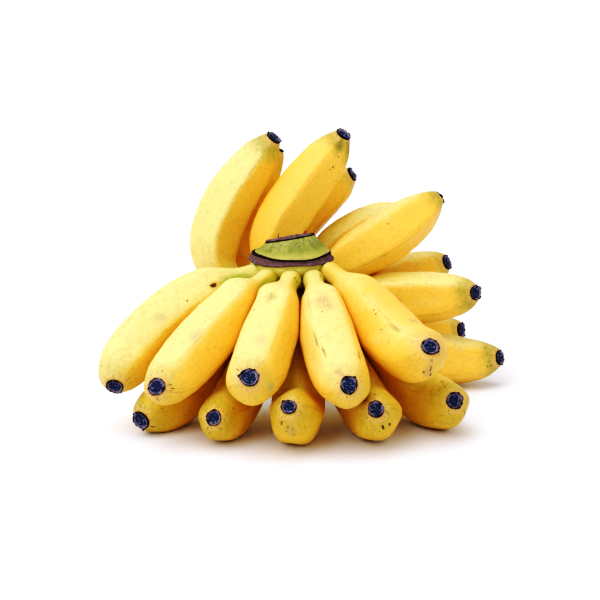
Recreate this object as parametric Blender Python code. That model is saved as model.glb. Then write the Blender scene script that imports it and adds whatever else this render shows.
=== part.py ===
"""A bunch of small dessert bananas that lies on its lower row of fruit.

Twenty fruits grow in four rows of five from one short, bent length of stalk. Two rows form the
front hand under the cut end of the stalk, and two rows form the back hand behind it. Each fruit
is one solid with a flat root face and a short, cupped, dark tip. The stalk is one solid with its
two crowns and the twenty necks that the fruits grow from.

Lengths are written in millimetres, and MM turns them into metres. In the table of fruits x runs
to the right, y away from the side with the cut end, and z up from the surface below.
"""
import math
from dataclasses import dataclass

import bmesh
import bpy
import numpy as np

MM = 0.001
BUNCH_NAME = "banana_bunch"

# The middle of the whole bunch's outline on the surface, which becomes the origin
BUNCH_CENTRE = (12.3, -0.7)

# A fruit
GIRTH = 15.5
FULL_GIRTH = 16.3
FRUIT_SIDES = 15
RINGS_ALONG = 16
RINGS_CLOSE_AT_TIP = 0.06
SPINE_STATIONS = 66
FINE_STATIONS = 400
SHARP_RIM = math.radians(40)

# Share of the fruit's length, and radius there as a share of its girth
BLUNT_PROFILE = (
    (0.00, 0.32), (0.04, 0.36), (0.09, 0.35), (0.135, 0.38), (0.18, 0.52), (0.23, 0.70),
    (0.30, 0.86), (0.40, 0.955), (0.52, 0.99), (0.64, 1.0), (0.75, 0.98), (0.84, 0.905),
    (0.91, 0.775), (0.96, 0.60), (0.985, 0.45), (1.0, 0.34),
)
TAPERED_PROFILE = (
    (0.00, 0.34), (0.04, 0.36), (0.09, 0.36), (0.14, 0.40), (0.20, 0.56), (0.27, 0.78),
    (0.36, 0.93), (0.47, 0.99), (0.58, 1.0), (0.70, 0.965), (0.80, 0.875), (0.88, 0.75),
    (0.94, 0.585), (0.98, 0.43), (1.0, 0.33),
)

# Sharpness of the ridges at the neck, and the shares where the body's ridges begin and soften
NECK_EDGE = 4.0
RIDGES_BEGIN = (0.12, 0.30)
RIDGES_SOFTEN = (0.55, 0.90)
# Sharper ridges stand out more, so each section is drawn in by this share of their sharpness
EVENING_OUT = 0.05
ROUND_EDGE = 3.0
# Middle and reach of the shoulder, where the neck widens, as shares of the length
SHOULDER_SHARE = 0.215
SHOULDER_REACH = 0.065

# The dried flower end at a fruit's tip: how far past the peel, and radius
TIP_RIM = (1.4, 4.9)
TIP_RIM_INSIDE = (1.4, 3.6)
TIP_CUP = (0.5, 1.9)

# Where fruits touch: each is drawn in to the middle surface between the two
PRESS_GAP = 0.7
PRESS_ROUNDS = 14
LEAST_RADIUS_SHARE = 0.25
REACH_OF_PRESSING = 4.0
# What would lie lower than this is flattened on the surface below
RESTING_FLAT = 1.2

# Where a fruit's solid begins, out from its root, and its neck ends
NECK_RUN = 8.0
NECK_SINK = 9.0
NECK_GAP = 0.35
NECK_RINGS = 4

# The stalk: centre, half width, half depth, tilt backwards and slant to the right in degrees
STALK_SIDES = 28
STALK_SECTIONS = (
    ((-1.0, 0.0, 98.7), 13.8, 10.2, 0.0, 10.5),
    ((-0.9, 0.0, 97.2), 14.8, 11.4, 0.0, 10.0),
    ((-0.4, 0.0, 93.8), 18.2, 16.4, 0.0, 5.0),
    ((0.1, 0.0, 90.8), 21.8, 21.2, 0.0, 1.0),
    ((0.1, -0.2, 90.2), 22.6, 22.4, 0.0, 0.0),
    ((0.0, -0.3, 87.1), 24.8, 24.8, 0.0, 0.0),
    ((0.0, 0.0, 86.2), 22.6, 22.0, 0.0, 0.0),
    ((0.0, 0.5, 83.0), 21.0, 20.0, 0.0, 0.0),
    ((0.0, 1.6, 77.0), 19.8, 18.0, 0.0, 0.0),
    ((0.0, 4.0, 70.0), 18.0, 15.8, 4.0, 0.0),
    ((0.0, 9.0, 61.5), 15.6, 14.4, 16.0, 0.0),
    ((0.3, 18.0, 53.0), 13.8, 13.4, 38.0, 0.0),
    ((0.8, 30.0, 47.0), 14.0, 13.4, 58.0, 0.0),
    ((1.2, 42.0, 44.0), 15.8, 15.4, 70.0, 0.0),
    ((0.6, 54.0, 41.5), 16.4, 16.0, 72.0, 0.0),
    ((-1.0, 66.0, 37.0), 14.8, 14.4, 62.0, 0.0),
    ((-4.0, 77.0, 28.0), 12.4, 12.2, 45.0, 0.0),
    ((-7.0, 85.0, 16.0), 11.8, 11.8, 24.0, 0.0),
    ((-9.0, 88.5, 5.0), 12.2, 12.2, 8.0, 0.0),
    ((-9.4, 89.0, 0.0), 12.4, 12.4, 0.0, 0.0),
)

PEEL_COLOURS = {
    "front_upper": (0.93, 0.72, 0.16),
    "front_lower": (0.84, 0.60, 0.07),
    "back_front": (0.90, 0.65, 0.10),
    "back_rear": (0.88, 0.60, 0.07),
}
PEEL_ROUGHNESS = 0.45
STALK_COLOUR = (0.42, 0.44, 0.10)
STALK_ROUGHNESS = 0.7


@dataclass(frozen=True)
class Form:
    """How a row's fruit is shaped: its profile, its ridges, and how far each facet stands out."""

    profile: tuple
    edge: float
    end_edge: float
    facets: tuple = (1.0, 1.0, 1.0, 1.0, 1.0)


PLUMP = Form(BLUNT_PROFILE, 6.0, 4.0)
LYING = Form(BLUNT_PROFILE, 7.5, 4.5, (1.0, 0.95, 1.03, 0.95, 1.0))
UPRIGHT = Form(TAPERED_PROFILE, 14.0, 9.0)
SPREAD = Form(TAPERED_PROFILE, 12.0, 8.0)

# Node, form, root, a third along, two thirds along, tip, girth, turn of the facets in degrees, and
# in the front's upper row how far one side swells at the shoulder and that side's angle
FRUITS = (
    (
        "front_upper_1", PLUMP, (-16.5, -10, 79), (-50, -20, 70.5), (-81, -38, 49), (-95.5, -64, 29),
        FULL_GIRTH, 20,
    ),
    (
        "front_upper_2", PLUMP, (-11, -18, 79.5), (-31, -41, 66.5), (-56, -68, 43.5), (-70, -92, 36.5),
        GIRTH, 0, 3.0, 20,
    ),
    (
        "front_upper_3", PLUMP, (1, -20, 79.5), (-8, -48, 65.5), (-17, -77, 45), (-21, -108, 46),
        GIRTH, 0, 3.5, 70,
    ),
    (
        "front_upper_4", PLUMP, (12, -18, 79.5), (17, -46, 65.5), (25, -77, 44.5), (30, -108, 42),
        GIRTH, 0, 2.0, -60,
    ),
    (
        "front_upper_5", PLUMP, (18, -11, 81), (37, -30, 70), (58, -56, 51), (73, -88, 57),
        FULL_GIRTH, 0, 1.2, -50,
    ),
    (
        "front_lower_1", LYING, (-17, -4, 67), (-51, -27, 26), (-69, -46, 13.5), (-81.5, -65, 10),
        GIRTH, 36,
    ),
    (
        "front_lower_2", LYING, (-11, -13, 66), (-24, -38, 26), (-34.5, -63, 13.2), (-40.5, -89, 18.5),
        14.0, 36,
    ),
    (
        "front_lower_3", LYING, (1, -17, 66), (3.5, -46, 25), (3.3, -72, 14.2), (-0.7, -104, 29),
        15.0, 36,
    ),
    (
        "front_lower_4", LYING, (12, -14, 66), (34, -42, 25), (44.5, -67, 14.5), (44.7, -98, 26),
        14.7, 36,
    ),
    (
        "front_lower_5", LYING, (19, -5, 67), (58, -27, 28), (79, -46, 15), (88, -74, 23.5),
        15.2, 36,
    ),
    (
        "back_front_1", UPRIGHT, (-16, 46, 58), (-47.5, 56, 77), (-36.3, 62, 113.5), (-10.6, 62, 149.2),
        15.6, -22,
    ),
    (
        "back_front_2", UPRIGHT, (-12, 47, 53), (-12.5, 53, 86), (8.8, 59, 120), (32, 62, 152),
        15.3, 33,
    ),
    (
        "back_front_3", SPREAD, (7, 47, 63), (42, 50, 80), (67, 58, 95), (90, 72, 110),
        GIRTH, 0,
    ),
    (
        "back_front_4", SPREAD, (17, 45, 53), (60, 42, 53), (88, 40, 54.5), (110.5, 30, 59.5),
        GIRTH, 10,
    ),
    (
        "back_front_5", SPREAD, (19, 44, 41), (64, 38, 22.5), (99, 36, 16), (128, 34, 18.5),
        GIRTH, 0,
    ),
    (
        "back_rear_1", SPREAD, (-11, 64, 56), (-42, 86, 80), (-32, 95, 108), (-9.8, 98, 137.6),
        GIRTH, 0,
    ),
    (
        "back_rear_2", SPREAD, (0, 65, 60), (-3, 82, 80), (13, 92, 102), (39, 98, 122),
        14.5, 0,
    ),
    (
        "back_rear_3", SPREAD, (6, 64, 62), (31, 82, 78), (53, 93, 89), (70, 106, 96),
        14.5, 0,
    ),
    (
        "back_rear_4", SPREAD, (17, 62, 46), (54, 78, 53), (79, 86, 59), (100, 88, 67),
        GIRTH, 0,
    ),
    (
        "back_rear_5", SPREAD, (17, 60, 34), (58, 80, 20), (86, 93, 16), (112, 98, 20),
        GIRTH, 0,
    ),
)


def table_value(table, at):
    """Read a smooth curve through (place, value) pairs, flat past either end."""
    place, value = np.array(table, float).T
    slope = np.gradient(value, place)
    at = np.clip(at, place[0], place[-1])
    row = np.clip(np.searchsorted(place, at, side="right") - 1, 0, len(place) - 2)
    width = place[row + 1] - place[row]
    s = (at - place[row]) / width
    from_start = (1 + 2 * s) * (1 - s) ** 2 * value[row] + s * (1 - s) ** 2 * width * slope[row]
    from_end = s * s * (3 - 2 * s) * value[row + 1] + s * s * (s - 1) * width * slope[row + 1]
    return from_start + from_end


def rise(share, begin_and_end):
    """Smooth step: 0 before a share of the length, 1 after another, and an S between them."""
    begin, end = begin_and_end
    s = np.clip((share - begin) / (end - begin), 0.0, 1.0)
    return s * s * (3 - 2 * s)


def curve_through(root, third, two_thirds, tip):
    """Points of the cubic Bezier curve that passes through four way points."""
    start, near, far, end = (np.array(p, float) for p in (root, third, two_thirds, tip))
    near_handle = (-5 * start + 18 * near - 9 * far + 2 * end) / 6
    far_handle = (2 * start - 9 * near + 18 * far - 5 * end) / 6
    s = np.linspace(0, 1, FINE_STATIONS)[:, None]
    return (
        (1 - s) ** 3 * start
        + 3 * s * (1 - s) ** 2 * near_handle
        + 3 * s * s * (1 - s) * far_handle
        + s ** 3 * end
    )


def carried_normals(tangents):
    """Normals turned as little as possible along a spine; the first is the one nearest up."""
    up = np.array((0.0, 0.0, 1.0))
    normal = up - tangents[0] * (up @ tangents[0])
    normals = [normal / np.linalg.norm(normal)]
    for tangent in tangents[1:]:
        normal = normals[-1] - tangent * (normals[-1] @ tangent)
        normals.append(normal / np.linalg.norm(normal))
    return np.array(normals)


@dataclass
class Fruit:
    """One banana: a soft five-sided section carried along a curved spine."""

    name: str
    form: Form
    root: tuple
    third: tuple
    two_thirds: tuple
    tip: tuple
    girth: float
    turn: float
    shoulder: float = 0.0
    shoulder_at: float = 0.0

    def __post_init__(self):
        curve = curve_through(self.root, self.third, self.two_thirds, self.tip)
        inward = (curve[0] - curve[1]) / np.linalg.norm(curve[0] - curve[1])
        line = np.vstack([curve[0] + inward * NECK_SINK, curve])
        steps = np.linalg.norm(np.diff(line, axis=0), axis=1)
        run = np.concatenate([[0.0], np.cumsum(steps)]) - NECK_SINK
        self.length = run[-1]
        self.along = np.linspace(-NECK_SINK, self.length, SPINE_STATIONS)
        self.spine = np.stack([np.interp(self.along, run, line[:, i]) for i in range(3)], -1)
        tangents = np.gradient(self.spine, axis=0)
        self.tangents = tangents / np.linalg.norm(tangents, axis=1)[:, None]
        self.normals = carried_normals(self.tangents)
        self.sideways = np.cross(self.tangents, self.normals)

    def round_radius(self, along):
        """Radius of the round that the five-sided section is cut from."""
        return self.girth * table_value(self.form.profile, along / self.length)

    def radius(self, along, angle):
        """Radius of the five-sided section at a place along the spine and an angle round it."""
        share = along / self.length
        power = NECK_EDGE + (self.form.edge - NECK_EDGE) * rise(share, RIDGES_BEGIN)
        power = power + (self.form.end_edge - self.form.edge) * rise(share, RIDGES_SOFTEN)
        total = 0.0
        for facet, reach in enumerate(self.form.facets):
            facing = np.cos(angle - math.radians(self.turn) - facet * math.tau / len(self.form.facets))
            total = total + (np.maximum(facing, 0.0) / reach) ** power
        section = total ** (-1 / power) / (1 + EVENING_OUT * np.log(power / ROUND_EDGE))
        side = np.clip(np.cos(angle - math.radians(self.shoulder_at)), 0.0, 1.0) ** 2
        swell = self.shoulder * side * np.exp(-((share - SHOULDER_SHARE) / SHOULDER_REACH) ** 2)
        return self.round_radius(along) * section + swell

    def read(self, rows, along):
        """Values of a row for each station, read at any place along the spine."""
        return np.stack([np.interp(along, self.along, rows[:, i]) for i in range(3)], -1)

    def height_over(self, points):
        """Rough distance of points from this fruit's surface, below 0 inside it."""
        apart = np.linalg.norm(points[:, None] - self.spine[None], axis=2)
        nearest = np.argmin(apart - self.round_radius(self.along)[None], axis=1)
        step = self.along[1] - self.along[0]
        past = np.einsum("ij,ij->i", points - self.spine[nearest], self.tangents[nearest])
        along = np.clip(
            self.along[nearest] + np.clip(past, -step / 2, step / 2), self.along[0], self.length
        )
        out = points - self.read(self.spine, along)
        across = np.einsum("ij,ij->i", out, self.read(self.sideways, along))
        upward = np.einsum("ij,ij->i", out, self.read(self.normals, along))
        return np.linalg.norm(out, axis=1) - self.radius(along, np.arctan2(across, upward))

    def side_angles(self):
        """Angles of a ring's points, the first of them on a ridge between two facets."""
        first_ridge = math.radians(self.turn) + math.pi / len(self.form.facets)
        return first_ridge + np.arange(FRUIT_SIDES) * math.tau / FRUIT_SIDES

    def touches(self, other):
        """Whether another fruit lies close enough to press on this one."""
        apart = np.linalg.norm(self.spine[:, None] - other.spine[None], axis=2).min()
        return apart < self.girth + other.girth + REACH_OF_PRESSING

    def rings(self, along, others):
        """Rings of points along the fruit, drawn in where neighbours and the surface press."""
        angles = self.side_angles()
        centre = self.read(self.spine, along)[:, None]
        outward = (
            self.read(self.normals, along)[:, None] * np.cos(angles)[None, :, None]
            + self.read(self.sideways, along)[:, None] * np.sin(angles)[None, :, None]
        )
        free = self.radius(along[:, None], angles[None, :])
        radius = free.copy()
        for _ in range(PRESS_ROUNDS):
            points = (centre + outward * radius[..., None]).reshape(-1, 3)
            own_height = (radius - free).reshape(-1)
            crowding = np.zeros(len(points))
            for other in others:
                crowding = np.maximum(crowding, PRESS_GAP - other.height_over(points) + own_height)
            radius = radius - crowding.reshape(radius.shape) / 2
            radius = np.maximum(radius, LEAST_RADIUS_SHARE * free)
        points = centre + outward * radius[..., None]
        points[points[..., 2] < RESTING_FLAT, 2] = 0.0
        return points

    def tip_rings(self):
        """Rings of the dried flower end: out over its rim and down into its cup."""
        angles = self.side_angles()
        rings = []
        for out, radius in (TIP_RIM, TIP_RIM_INSIDE, TIP_CUP):
            ring = np.cos(angles)[:, None] * self.normals[-1] + np.sin(angles)[:, None] * self.sideways[-1]
            rings.append(self.spine[-1] + self.tangents[-1] * out + ring * radius)
        return np.array(rings)


def lofted_mesh(name, rings):
    """A closed mesh through rings of equal counts, with a flat face over each end ring."""
    count, sides, _ = rings.shape
    bm = bmesh.new()
    origin = np.array((*BUNCH_CENTRE, 0.0))
    verts = [bm.verts.new(point) for point in (rings.reshape(-1, 3) - origin) * MM]
    for ring in range(count - 1):
        for side in range(sides):
            here = ring * sides + side
            beside = ring * sides + (side + 1) % sides
            bm.faces.new((verts[here], verts[beside], verts[beside + sides], verts[here + sides]))
    bm.faces.new(verts[:sides])
    bm.faces.new(verts[-sides:])
    bmesh.ops.recalc_face_normals(bm, faces=bm.faces)
    mesh = bpy.data.meshes.new(name)
    bm.to_mesh(mesh)
    bm.free()
    return mesh


def add_object(name, mesh, collection):
    """Put a mesh into a collection as a named object with smooth sides and sharp rims."""
    mesh.shade_smooth()
    mesh.set_sharp_from_angle(angle=SHARP_RIM)
    obj = bpy.data.objects.new(name, mesh)
    collection.objects.link(obj)
    return obj


def matte_material(name, colour, roughness):
    """A Principled material of one colour."""
    material = bpy.data.materials.new(name)
    material.use_nodes = True
    shader = material.node_tree.nodes["Principled BSDF"]
    shader.inputs["Base Color"].default_value = (*colour, 1.0)
    shader.inputs["Roughness"].default_value = roughness
    shader.inputs["Metallic"].default_value = 0.0
    return material


def fruit_places(fruit):
    """Places of a fruit's rings: even along it, closer where it narrows to the tip."""
    even = np.linspace(0.0, 1.0, RINGS_ALONG)
    closing = even + RINGS_CLOSE_AT_TIP * np.sin(math.pi * even) * even
    return NECK_RUN + closing * (fruit.length - NECK_RUN)


def make_fruit(fruit, others, collection):
    """One banana, from its flat root face to its cupped tip."""
    rings = np.concatenate([fruit.rings(fruit_places(fruit), others), fruit.tip_rings()])
    obj = add_object(fruit.name, lofted_mesh(fruit.name, rings), collection)
    row = fruit.name.rsplit("_", 1)[0]
    obj.data.materials.append(
        matte_material(f"peel_{fruit.name}", PEEL_COLOURS[row], PEEL_ROUGHNESS)
    )
    return obj


def make_neck(fruit, others, collection):
    """The neck that carries one banana, from inside the crown to just short of the fruit."""
    along = np.linspace(-NECK_SINK, NECK_RUN - NECK_GAP, NECK_RINGS)
    return add_object(
        f"neck_{fruit.name}", lofted_mesh(f"neck_{fruit.name}", fruit.rings(along, others)), collection
    )


def stalk_rings():
    """The stalk's sections from its cut top, down through both crowns, to its cut foot."""
    angles = np.arange(STALK_SIDES) * math.tau / STALK_SIDES
    rings = []
    for centre, half_width, half_depth, tilt, slant in STALK_SECTIONS:
        across = np.array((math.cos(math.radians(slant)), 0.0, math.sin(math.radians(slant))))
        deep = np.array((0.0, math.cos(math.radians(tilt)), math.sin(math.radians(tilt))))
        wide = half_width * np.cos(angles)[:, None] * across
        rings.append(np.array(centre) + wide + half_depth * np.sin(angles)[:, None] * deep)
    return np.array(rings)


def make_stalk(fruits, collection, cutters):
    """The stalk with its crowns, joined to the twenty necks in one solid."""
    stalk = add_object("stalk", lofted_mesh("stalk", stalk_rings()), collection)
    for fruit in fruits:
        others = [other for other in fruits if other is not fruit and fruit.touches(other)]
        make_neck(fruit, others, cutters)
    union = stalk.modifiers.new("necks", "BOOLEAN")
    union.operation = "UNION"
    union.solver = "EXACT"
    union.operand_type = "COLLECTION"
    union.collection = cutters
    bpy.context.view_layer.update()
    joined = bpy.data.meshes.new_from_object(stalk.evaluated_get(bpy.context.evaluated_depsgraph_get()))
    stalk.modifiers.clear()
    stalk.data = joined
    for neck in list(cutters.objects):
        bpy.data.objects.remove(neck)
    joined.materials.clear()
    joined.materials.append(matte_material("stalk_skin", STALK_COLOUR, STALK_ROUGHNESS))
    return stalk


def main():
    """Build the whole bunch."""
    for obj in list(bpy.data.objects):
        bpy.data.objects.remove(obj)
    collection = bpy.data.collections.new(BUNCH_NAME)
    cutters = bpy.data.collections.new("necks_to_join")
    bpy.context.scene.collection.children.link(collection)
    bpy.context.scene.collection.children.link(cutters)
    fruits = [Fruit(*row) for row in FRUITS]
    for fruit in fruits:
        others = [other for other in fruits if other is not fruit and fruit.touches(other)]
        make_fruit(fruit, others, collection)
    make_stalk(fruits, collection, cutters)


main()
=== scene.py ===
"""The looks of a bunch of small dessert bananas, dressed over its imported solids.

Every fruit is one surface carried along a curved spine, from its neck inside the crown to the
dried flower end at its tip. The stalk is a second surface with a scar band round its crown and a
dried cut at either end. Places are millimetres in the frame that the fruits were set out in, and
FrameMaker.to_frame moves them into the model's own frame, in metres.
"""

import logging
import math
from dataclasses import dataclass, field
from enum import Enum
from typing import Any, Sequence

import bpy
import numpy as np
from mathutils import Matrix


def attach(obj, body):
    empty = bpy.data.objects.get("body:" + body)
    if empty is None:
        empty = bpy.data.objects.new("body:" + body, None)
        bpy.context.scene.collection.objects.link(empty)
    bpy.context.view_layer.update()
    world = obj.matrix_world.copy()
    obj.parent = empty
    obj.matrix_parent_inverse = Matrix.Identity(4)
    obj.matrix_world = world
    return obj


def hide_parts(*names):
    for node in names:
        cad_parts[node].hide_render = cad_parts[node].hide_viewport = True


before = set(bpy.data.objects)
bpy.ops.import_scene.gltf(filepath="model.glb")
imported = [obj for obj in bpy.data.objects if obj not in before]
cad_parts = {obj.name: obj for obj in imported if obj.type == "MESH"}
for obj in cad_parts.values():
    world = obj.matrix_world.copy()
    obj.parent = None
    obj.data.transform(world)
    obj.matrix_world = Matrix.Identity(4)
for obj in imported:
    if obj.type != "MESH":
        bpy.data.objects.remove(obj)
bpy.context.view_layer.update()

LOG = logging.getLogger("banana_bunch")
MM = 0.001
BUNCH_CENTRE = (12.3, -0.7, 0.0)
BODY = "root"

Triple = tuple[float, float, float]
Table = Sequence[tuple[float, float]]


def linear(red: float, green: float, blue: float) -> Triple:
    """Turn a screen colour of 0 to 255 into the linear colour that shaders use.

    Args:
        red: The red part.
        green: The green part.
        blue: The blue part.

    Returns:
        The same colour in linear light.
    """
    parts = np.array((red, green, blue)) / 255
    dark = parts / 12.92
    bright = ((parts + 0.055) / 1.055) ** 2.4
    return tuple(float(p) for p in np.where(parts <= 0.04045, dark, bright))


def table_value(table: Table, at: np.ndarray) -> np.ndarray:
    """Read a cubic Hermite curve through pairs, with central differences for slopes.

    Args:
        table: Pairs of place and value, in rising order of place.
        at: Places to read; past either end the curve is flat.

    Returns:
        The value at each place.
    """
    place, value = np.array(table, float).T
    slope = np.gradient(value, place)
    at = np.clip(at, place[0], place[-1])
    row = np.clip(np.searchsorted(place, at, side="right") - 1, 0, len(place) - 2)
    width = place[row + 1] - place[row]
    s = (at - place[row]) / width
    from_start = (1 + 2 * s) * (1 - s) ** 2 * value[row] + s * (1 - s) ** 2 * width * slope[row]
    from_end = s * s * (3 - 2 * s) * value[row + 1] + s * s * (s - 1) * width * slope[row + 1]
    return from_start + from_end


def read_columns(table: Sequence[Sequence[float]], at: np.ndarray) -> list[np.ndarray]:
    """Read each column of a table after its first one, which holds the places.

    Args:
        table: Rows of a place and its values, in rising order of place.
        at: Places to read.

    Returns:
        The values of each column at each place.
    """
    rows = np.array(table, float)
    return [table_value(rows[:, [0, column]], at) for column in range(1, rows.shape[1])]


def rise(value: np.ndarray, low: float, high: float) -> np.ndarray:
    """Smooth step from 0 at low to 1 at high, flat past both; low may be the larger."""
    s = np.clip((value - low) / (high - low), 0, 1)
    return s * s * (3 - 2 * s)


@dataclass(frozen=True)
class Ripples:
    """Low lumps that close round a surface.

    Attributes:
        turns: How many times each of their sines goes round.
        wave: Typical length of a wave along the surface, in millimetres.
        height: How far they stand out.
        seed: Picks the phases and the waves, with the piece's own seed added.
        run: Millimetres to a unit of the place along the surface.
    """

    turns: tuple[int, ...]
    wave: float
    height: float = 1.0
    seed: int = 0
    run: float = 1.0

    # How far the waves differ in length, and how far they bend the lumps
    SPREAD = (0.7, 1.5)
    BEND = 1.4

    def over(self, angle: np.ndarray, along: np.ndarray, piece_seed: int = 0) -> np.ndarray:
        """A sum of sines of whole turns of the angle, each bent by a sine of the place along.

        Args:
            angle: Angle round the surface, in radians.
            along: Place along it.
            piece_seed: The seed of a piece that has its own.

        Returns:
            Values from about the height below 0 to the height above it.
        """
        draw = np.random.default_rng(self.seed + piece_seed)
        total = 0.0
        for count in self.turns:
            phase, phase_along = draw.uniform(0, math.tau, 2)
            pace = math.tau / (self.wave * draw.uniform(*self.SPREAD))
            bent = self.BEND * np.sin(along * self.run * pace + phase_along)
            total = total + np.sin(count * angle + phase + bent)
        return self.height * (total / math.sqrt(len(self.turns)) / self.BEND)


class Row(Enum):
    """The four rows of fruit, by the start of their nodes' names."""

    FRONT_UPPER = "front_upper"
    FRONT_LOWER = "front_lower"
    BACK_FRONT = "back_front"
    BACK_REAR = "back_rear"


class Wire:
    """A socket that takes part in Python expressions by adding Math nodes."""

    def __init__(self, graph: "Graph", socket: bpy.types.NodeSocket) -> None:
        """Keep the socket and the graph it belongs to."""
        self.graph = graph
        self.socket = socket

    def __add__(self, other: Any) -> "Wire":
        """Sum."""
        return self.graph.maths("ADD", self, other)

    def __radd__(self, other: Any) -> "Wire":
        """Sum, with the number first."""
        return self.graph.maths("ADD", other, self)

    def __sub__(self, other: Any) -> "Wire":
        """Difference."""
        return self.graph.maths("SUBTRACT", self, other)

    def __rsub__(self, other: Any) -> "Wire":
        """Difference, with the number first."""
        return self.graph.maths("SUBTRACT", other, self)

    def __mul__(self, other: Any) -> "Wire":
        """Product."""
        return self.graph.maths("MULTIPLY", self, other)

    def __rmul__(self, other: Any) -> "Wire":
        """Product, with the number first."""
        return self.graph.maths("MULTIPLY", other, self)


class Graph:
    """The nodes of one material, with a Principled surface at their end."""

    def __init__(self, name: str) -> None:
        """Start a material with nothing but its output and a Principled shader.

        Args:
            name: The material's name.
        """
        self.material = bpy.data.materials.new(name)
        self.material.use_nodes = True
        self.tree = self.material.node_tree
        self.tree.nodes.clear()
        self.shader = self.node("ShaderNodeBsdfPrincipled", {}, {})
        self.node("ShaderNodeOutputMaterial", {}, {"Surface": self.shader.outputs[0]})

    def node(self, kind: str, settings: dict[str, Any], sockets: dict[Any, Any]) -> bpy.types.Node:
        """Add any node.

        Args:
            kind: The node's type.
            settings: Its own properties, set first.
            sockets: Numbers, colours, wires or sockets, by input name or place.

        Returns:
            The node.
        """
        node = self.tree.nodes.new(kind)
        for key, value in settings.items():
            setattr(node, key, value)
        for key, value in sockets.items():
            self.feed(node.inputs[key], value)
        return node

    def feed(self, socket: bpy.types.NodeSocket, value: Any) -> None:
        """Link a wire or socket to an input, or set the input's own value.

        Args:
            socket: The input.
            value: A wire, a socket, a colour or a number.
        """
        if isinstance(value, Wire):
            value = value.socket
        if isinstance(value, bpy.types.NodeSocket):
            self.tree.links.new(value, socket)
        elif isinstance(value, tuple) and len(value) == 3 and socket.type == "RGBA":
            socket.default_value = (*value, 1.0)
        else:
            socket.default_value = value

    def maths(self, operation: str, first: Any, second: Any) -> Wire:
        """A Math node of two values."""
        node = self.node("ShaderNodeMath", {"operation": operation}, {0: first, 1: second})
        return Wire(self, node.outputs[0])

    def vectors(self, operation: str, sockets: dict[Any, Any]) -> bpy.types.Node:
        """A Vector Math node."""
        return self.node("ShaderNodeVectorMath", {"operation": operation}, sockets)

    def attribute(self, name: str) -> bpy.types.Node:
        """The node that reads a piece's own attribute."""
        return self.node("ShaderNodeAttribute", {"attribute_name": name}, {})

    def value_of(self, name: str) -> Wire:
        """A number that the piece's mesh holds at each vertex."""
        return Wire(self, self.attribute(name).outputs["Fac"])

    def place(self, name: str, stretch: Triple, shift: Triple) -> Wire:
        """A place that the mesh holds at each vertex, scaled and moved for a pattern.

        Args:
            name: The attribute.
            stretch: How many times each axis is scaled.
            shift: What is added afterwards.

        Returns:
            The vector to read a texture with.
        """
        mapping = self.node(
            "ShaderNodeMapping",
            {"vector_type": "POINT"},
            {"Vector": self.attribute(name).outputs["Vector"], "Scale": stretch, "Location": shift},
        )
        return Wire(self, mapping.outputs[0])

    def noise(self, vector: Wire, scale: float, detail: float, rough: float = 0.5) -> Wire:
        """Soft noise of about 0 to 1.

        Args:
            vector: Where to read it.
            scale: Lumps to a unit of the vector.
            detail: Finer layers over the first.
            rough: How strong the finer layers are.

        Returns:
            The noise's value.
        """
        sockets = {"Vector": vector, "Scale": scale, "Detail": detail, "Roughness": rough}
        return Wire(self, self.node("ShaderNodeTexNoise", {}, sockets).outputs["Fac"])

    def cells(self, vector: Wire, scale: float) -> Wire:
        """Distance from the nearest of many scattered points, for freckles."""
        sockets = {"Vector": vector, "Scale": scale}
        return Wire(self, self.node("ShaderNodeTexVoronoi", {}, sockets).outputs["Distance"])

    def ease(self, value: Any, low: float, high: float) -> Wire:
        """Rise smoothly from 0 at low to 1 at high, or fall where low is the larger.

        Args:
            value: What is read.
            low: Where the result is 0.
            high: Where it is 1.

        Returns:
            The eased value.
        """
        rising = low < high
        sockets = {"Value": value, "From Min": min(low, high), "From Max": max(low, high)}
        sockets |= {"To Min": 0.0 if rising else 1.0, "To Max": 1.0 if rising else 0.0}
        node = self.node("ShaderNodeMapRange", {"interpolation_type": "SMOOTHSTEP"}, sockets)
        return Wire(self, node.outputs[0])

    def blend(self, share: Any, first: Any, second: Any) -> Wire:
        """Mix two colours.

        Args:
            share: How much of the second shows.
            first: The colour below.
            second: The colour above.

        Returns:
            The mixed colour.
        """
        settings = {"data_type": "RGBA", "clamp_factor": True}
        node = self.node("ShaderNodeMix", settings, {0: share, 6: first, 7: second})
        return Wire(self, node.outputs[2])

    def distance(self, vector: Wire, point: Triple) -> Wire:
        """How far a vector is from a fixed point."""
        return Wire(self, self.vectors("DISTANCE", {0: vector, 1: point}).outputs["Value"])

    def sway(self, vector: Wire, scale: float, reach: float) -> Wire:
        """Move a vector about by coloured noise, so that what it draws has a ragged edge.

        Args:
            vector: What is moved.
            scale: Lumps of the noise to a unit.
            reach: Twice the furthest move.

        Returns:
            The moved vector.
        """
        noise = self.node("ShaderNodeTexNoise", {}, {"Vector": vector, "Scale": scale, "Detail": 3.0})
        middle = (0.5, 0.5, 0.5)
        centred = self.vectors("SUBTRACT", {0: noise.outputs["Color"], 1: middle}).outputs[0]
        scaled = self.vectors("SCALE", {0: centred, "Scale": reach}).outputs[0]
        return Wire(self, self.vectors("ADD", {0: vector, 1: scaled}).outputs[0])

    def relief(self, height: Wire, depth: float) -> None:
        """Raise the surface by a height of 0 to 1 times a depth in metres."""
        bump = self.node("ShaderNodeBump", {}, {"Height": height, "Distance": depth})
        self.feed(self.shader.inputs["Normal"], bump.outputs[0])

    def finish(self, **sockets: Any) -> bpy.types.Material:
        """Feed the Principled shader's inputs.

        Args:
            sockets: What each gets, by the input's name with underscores for spaces.

        Returns:
            The finished material.
        """
        for key, value in sockets.items():
            self.feed(self.shader.inputs[key.replace("_", " ")], value)
        return self.material


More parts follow.
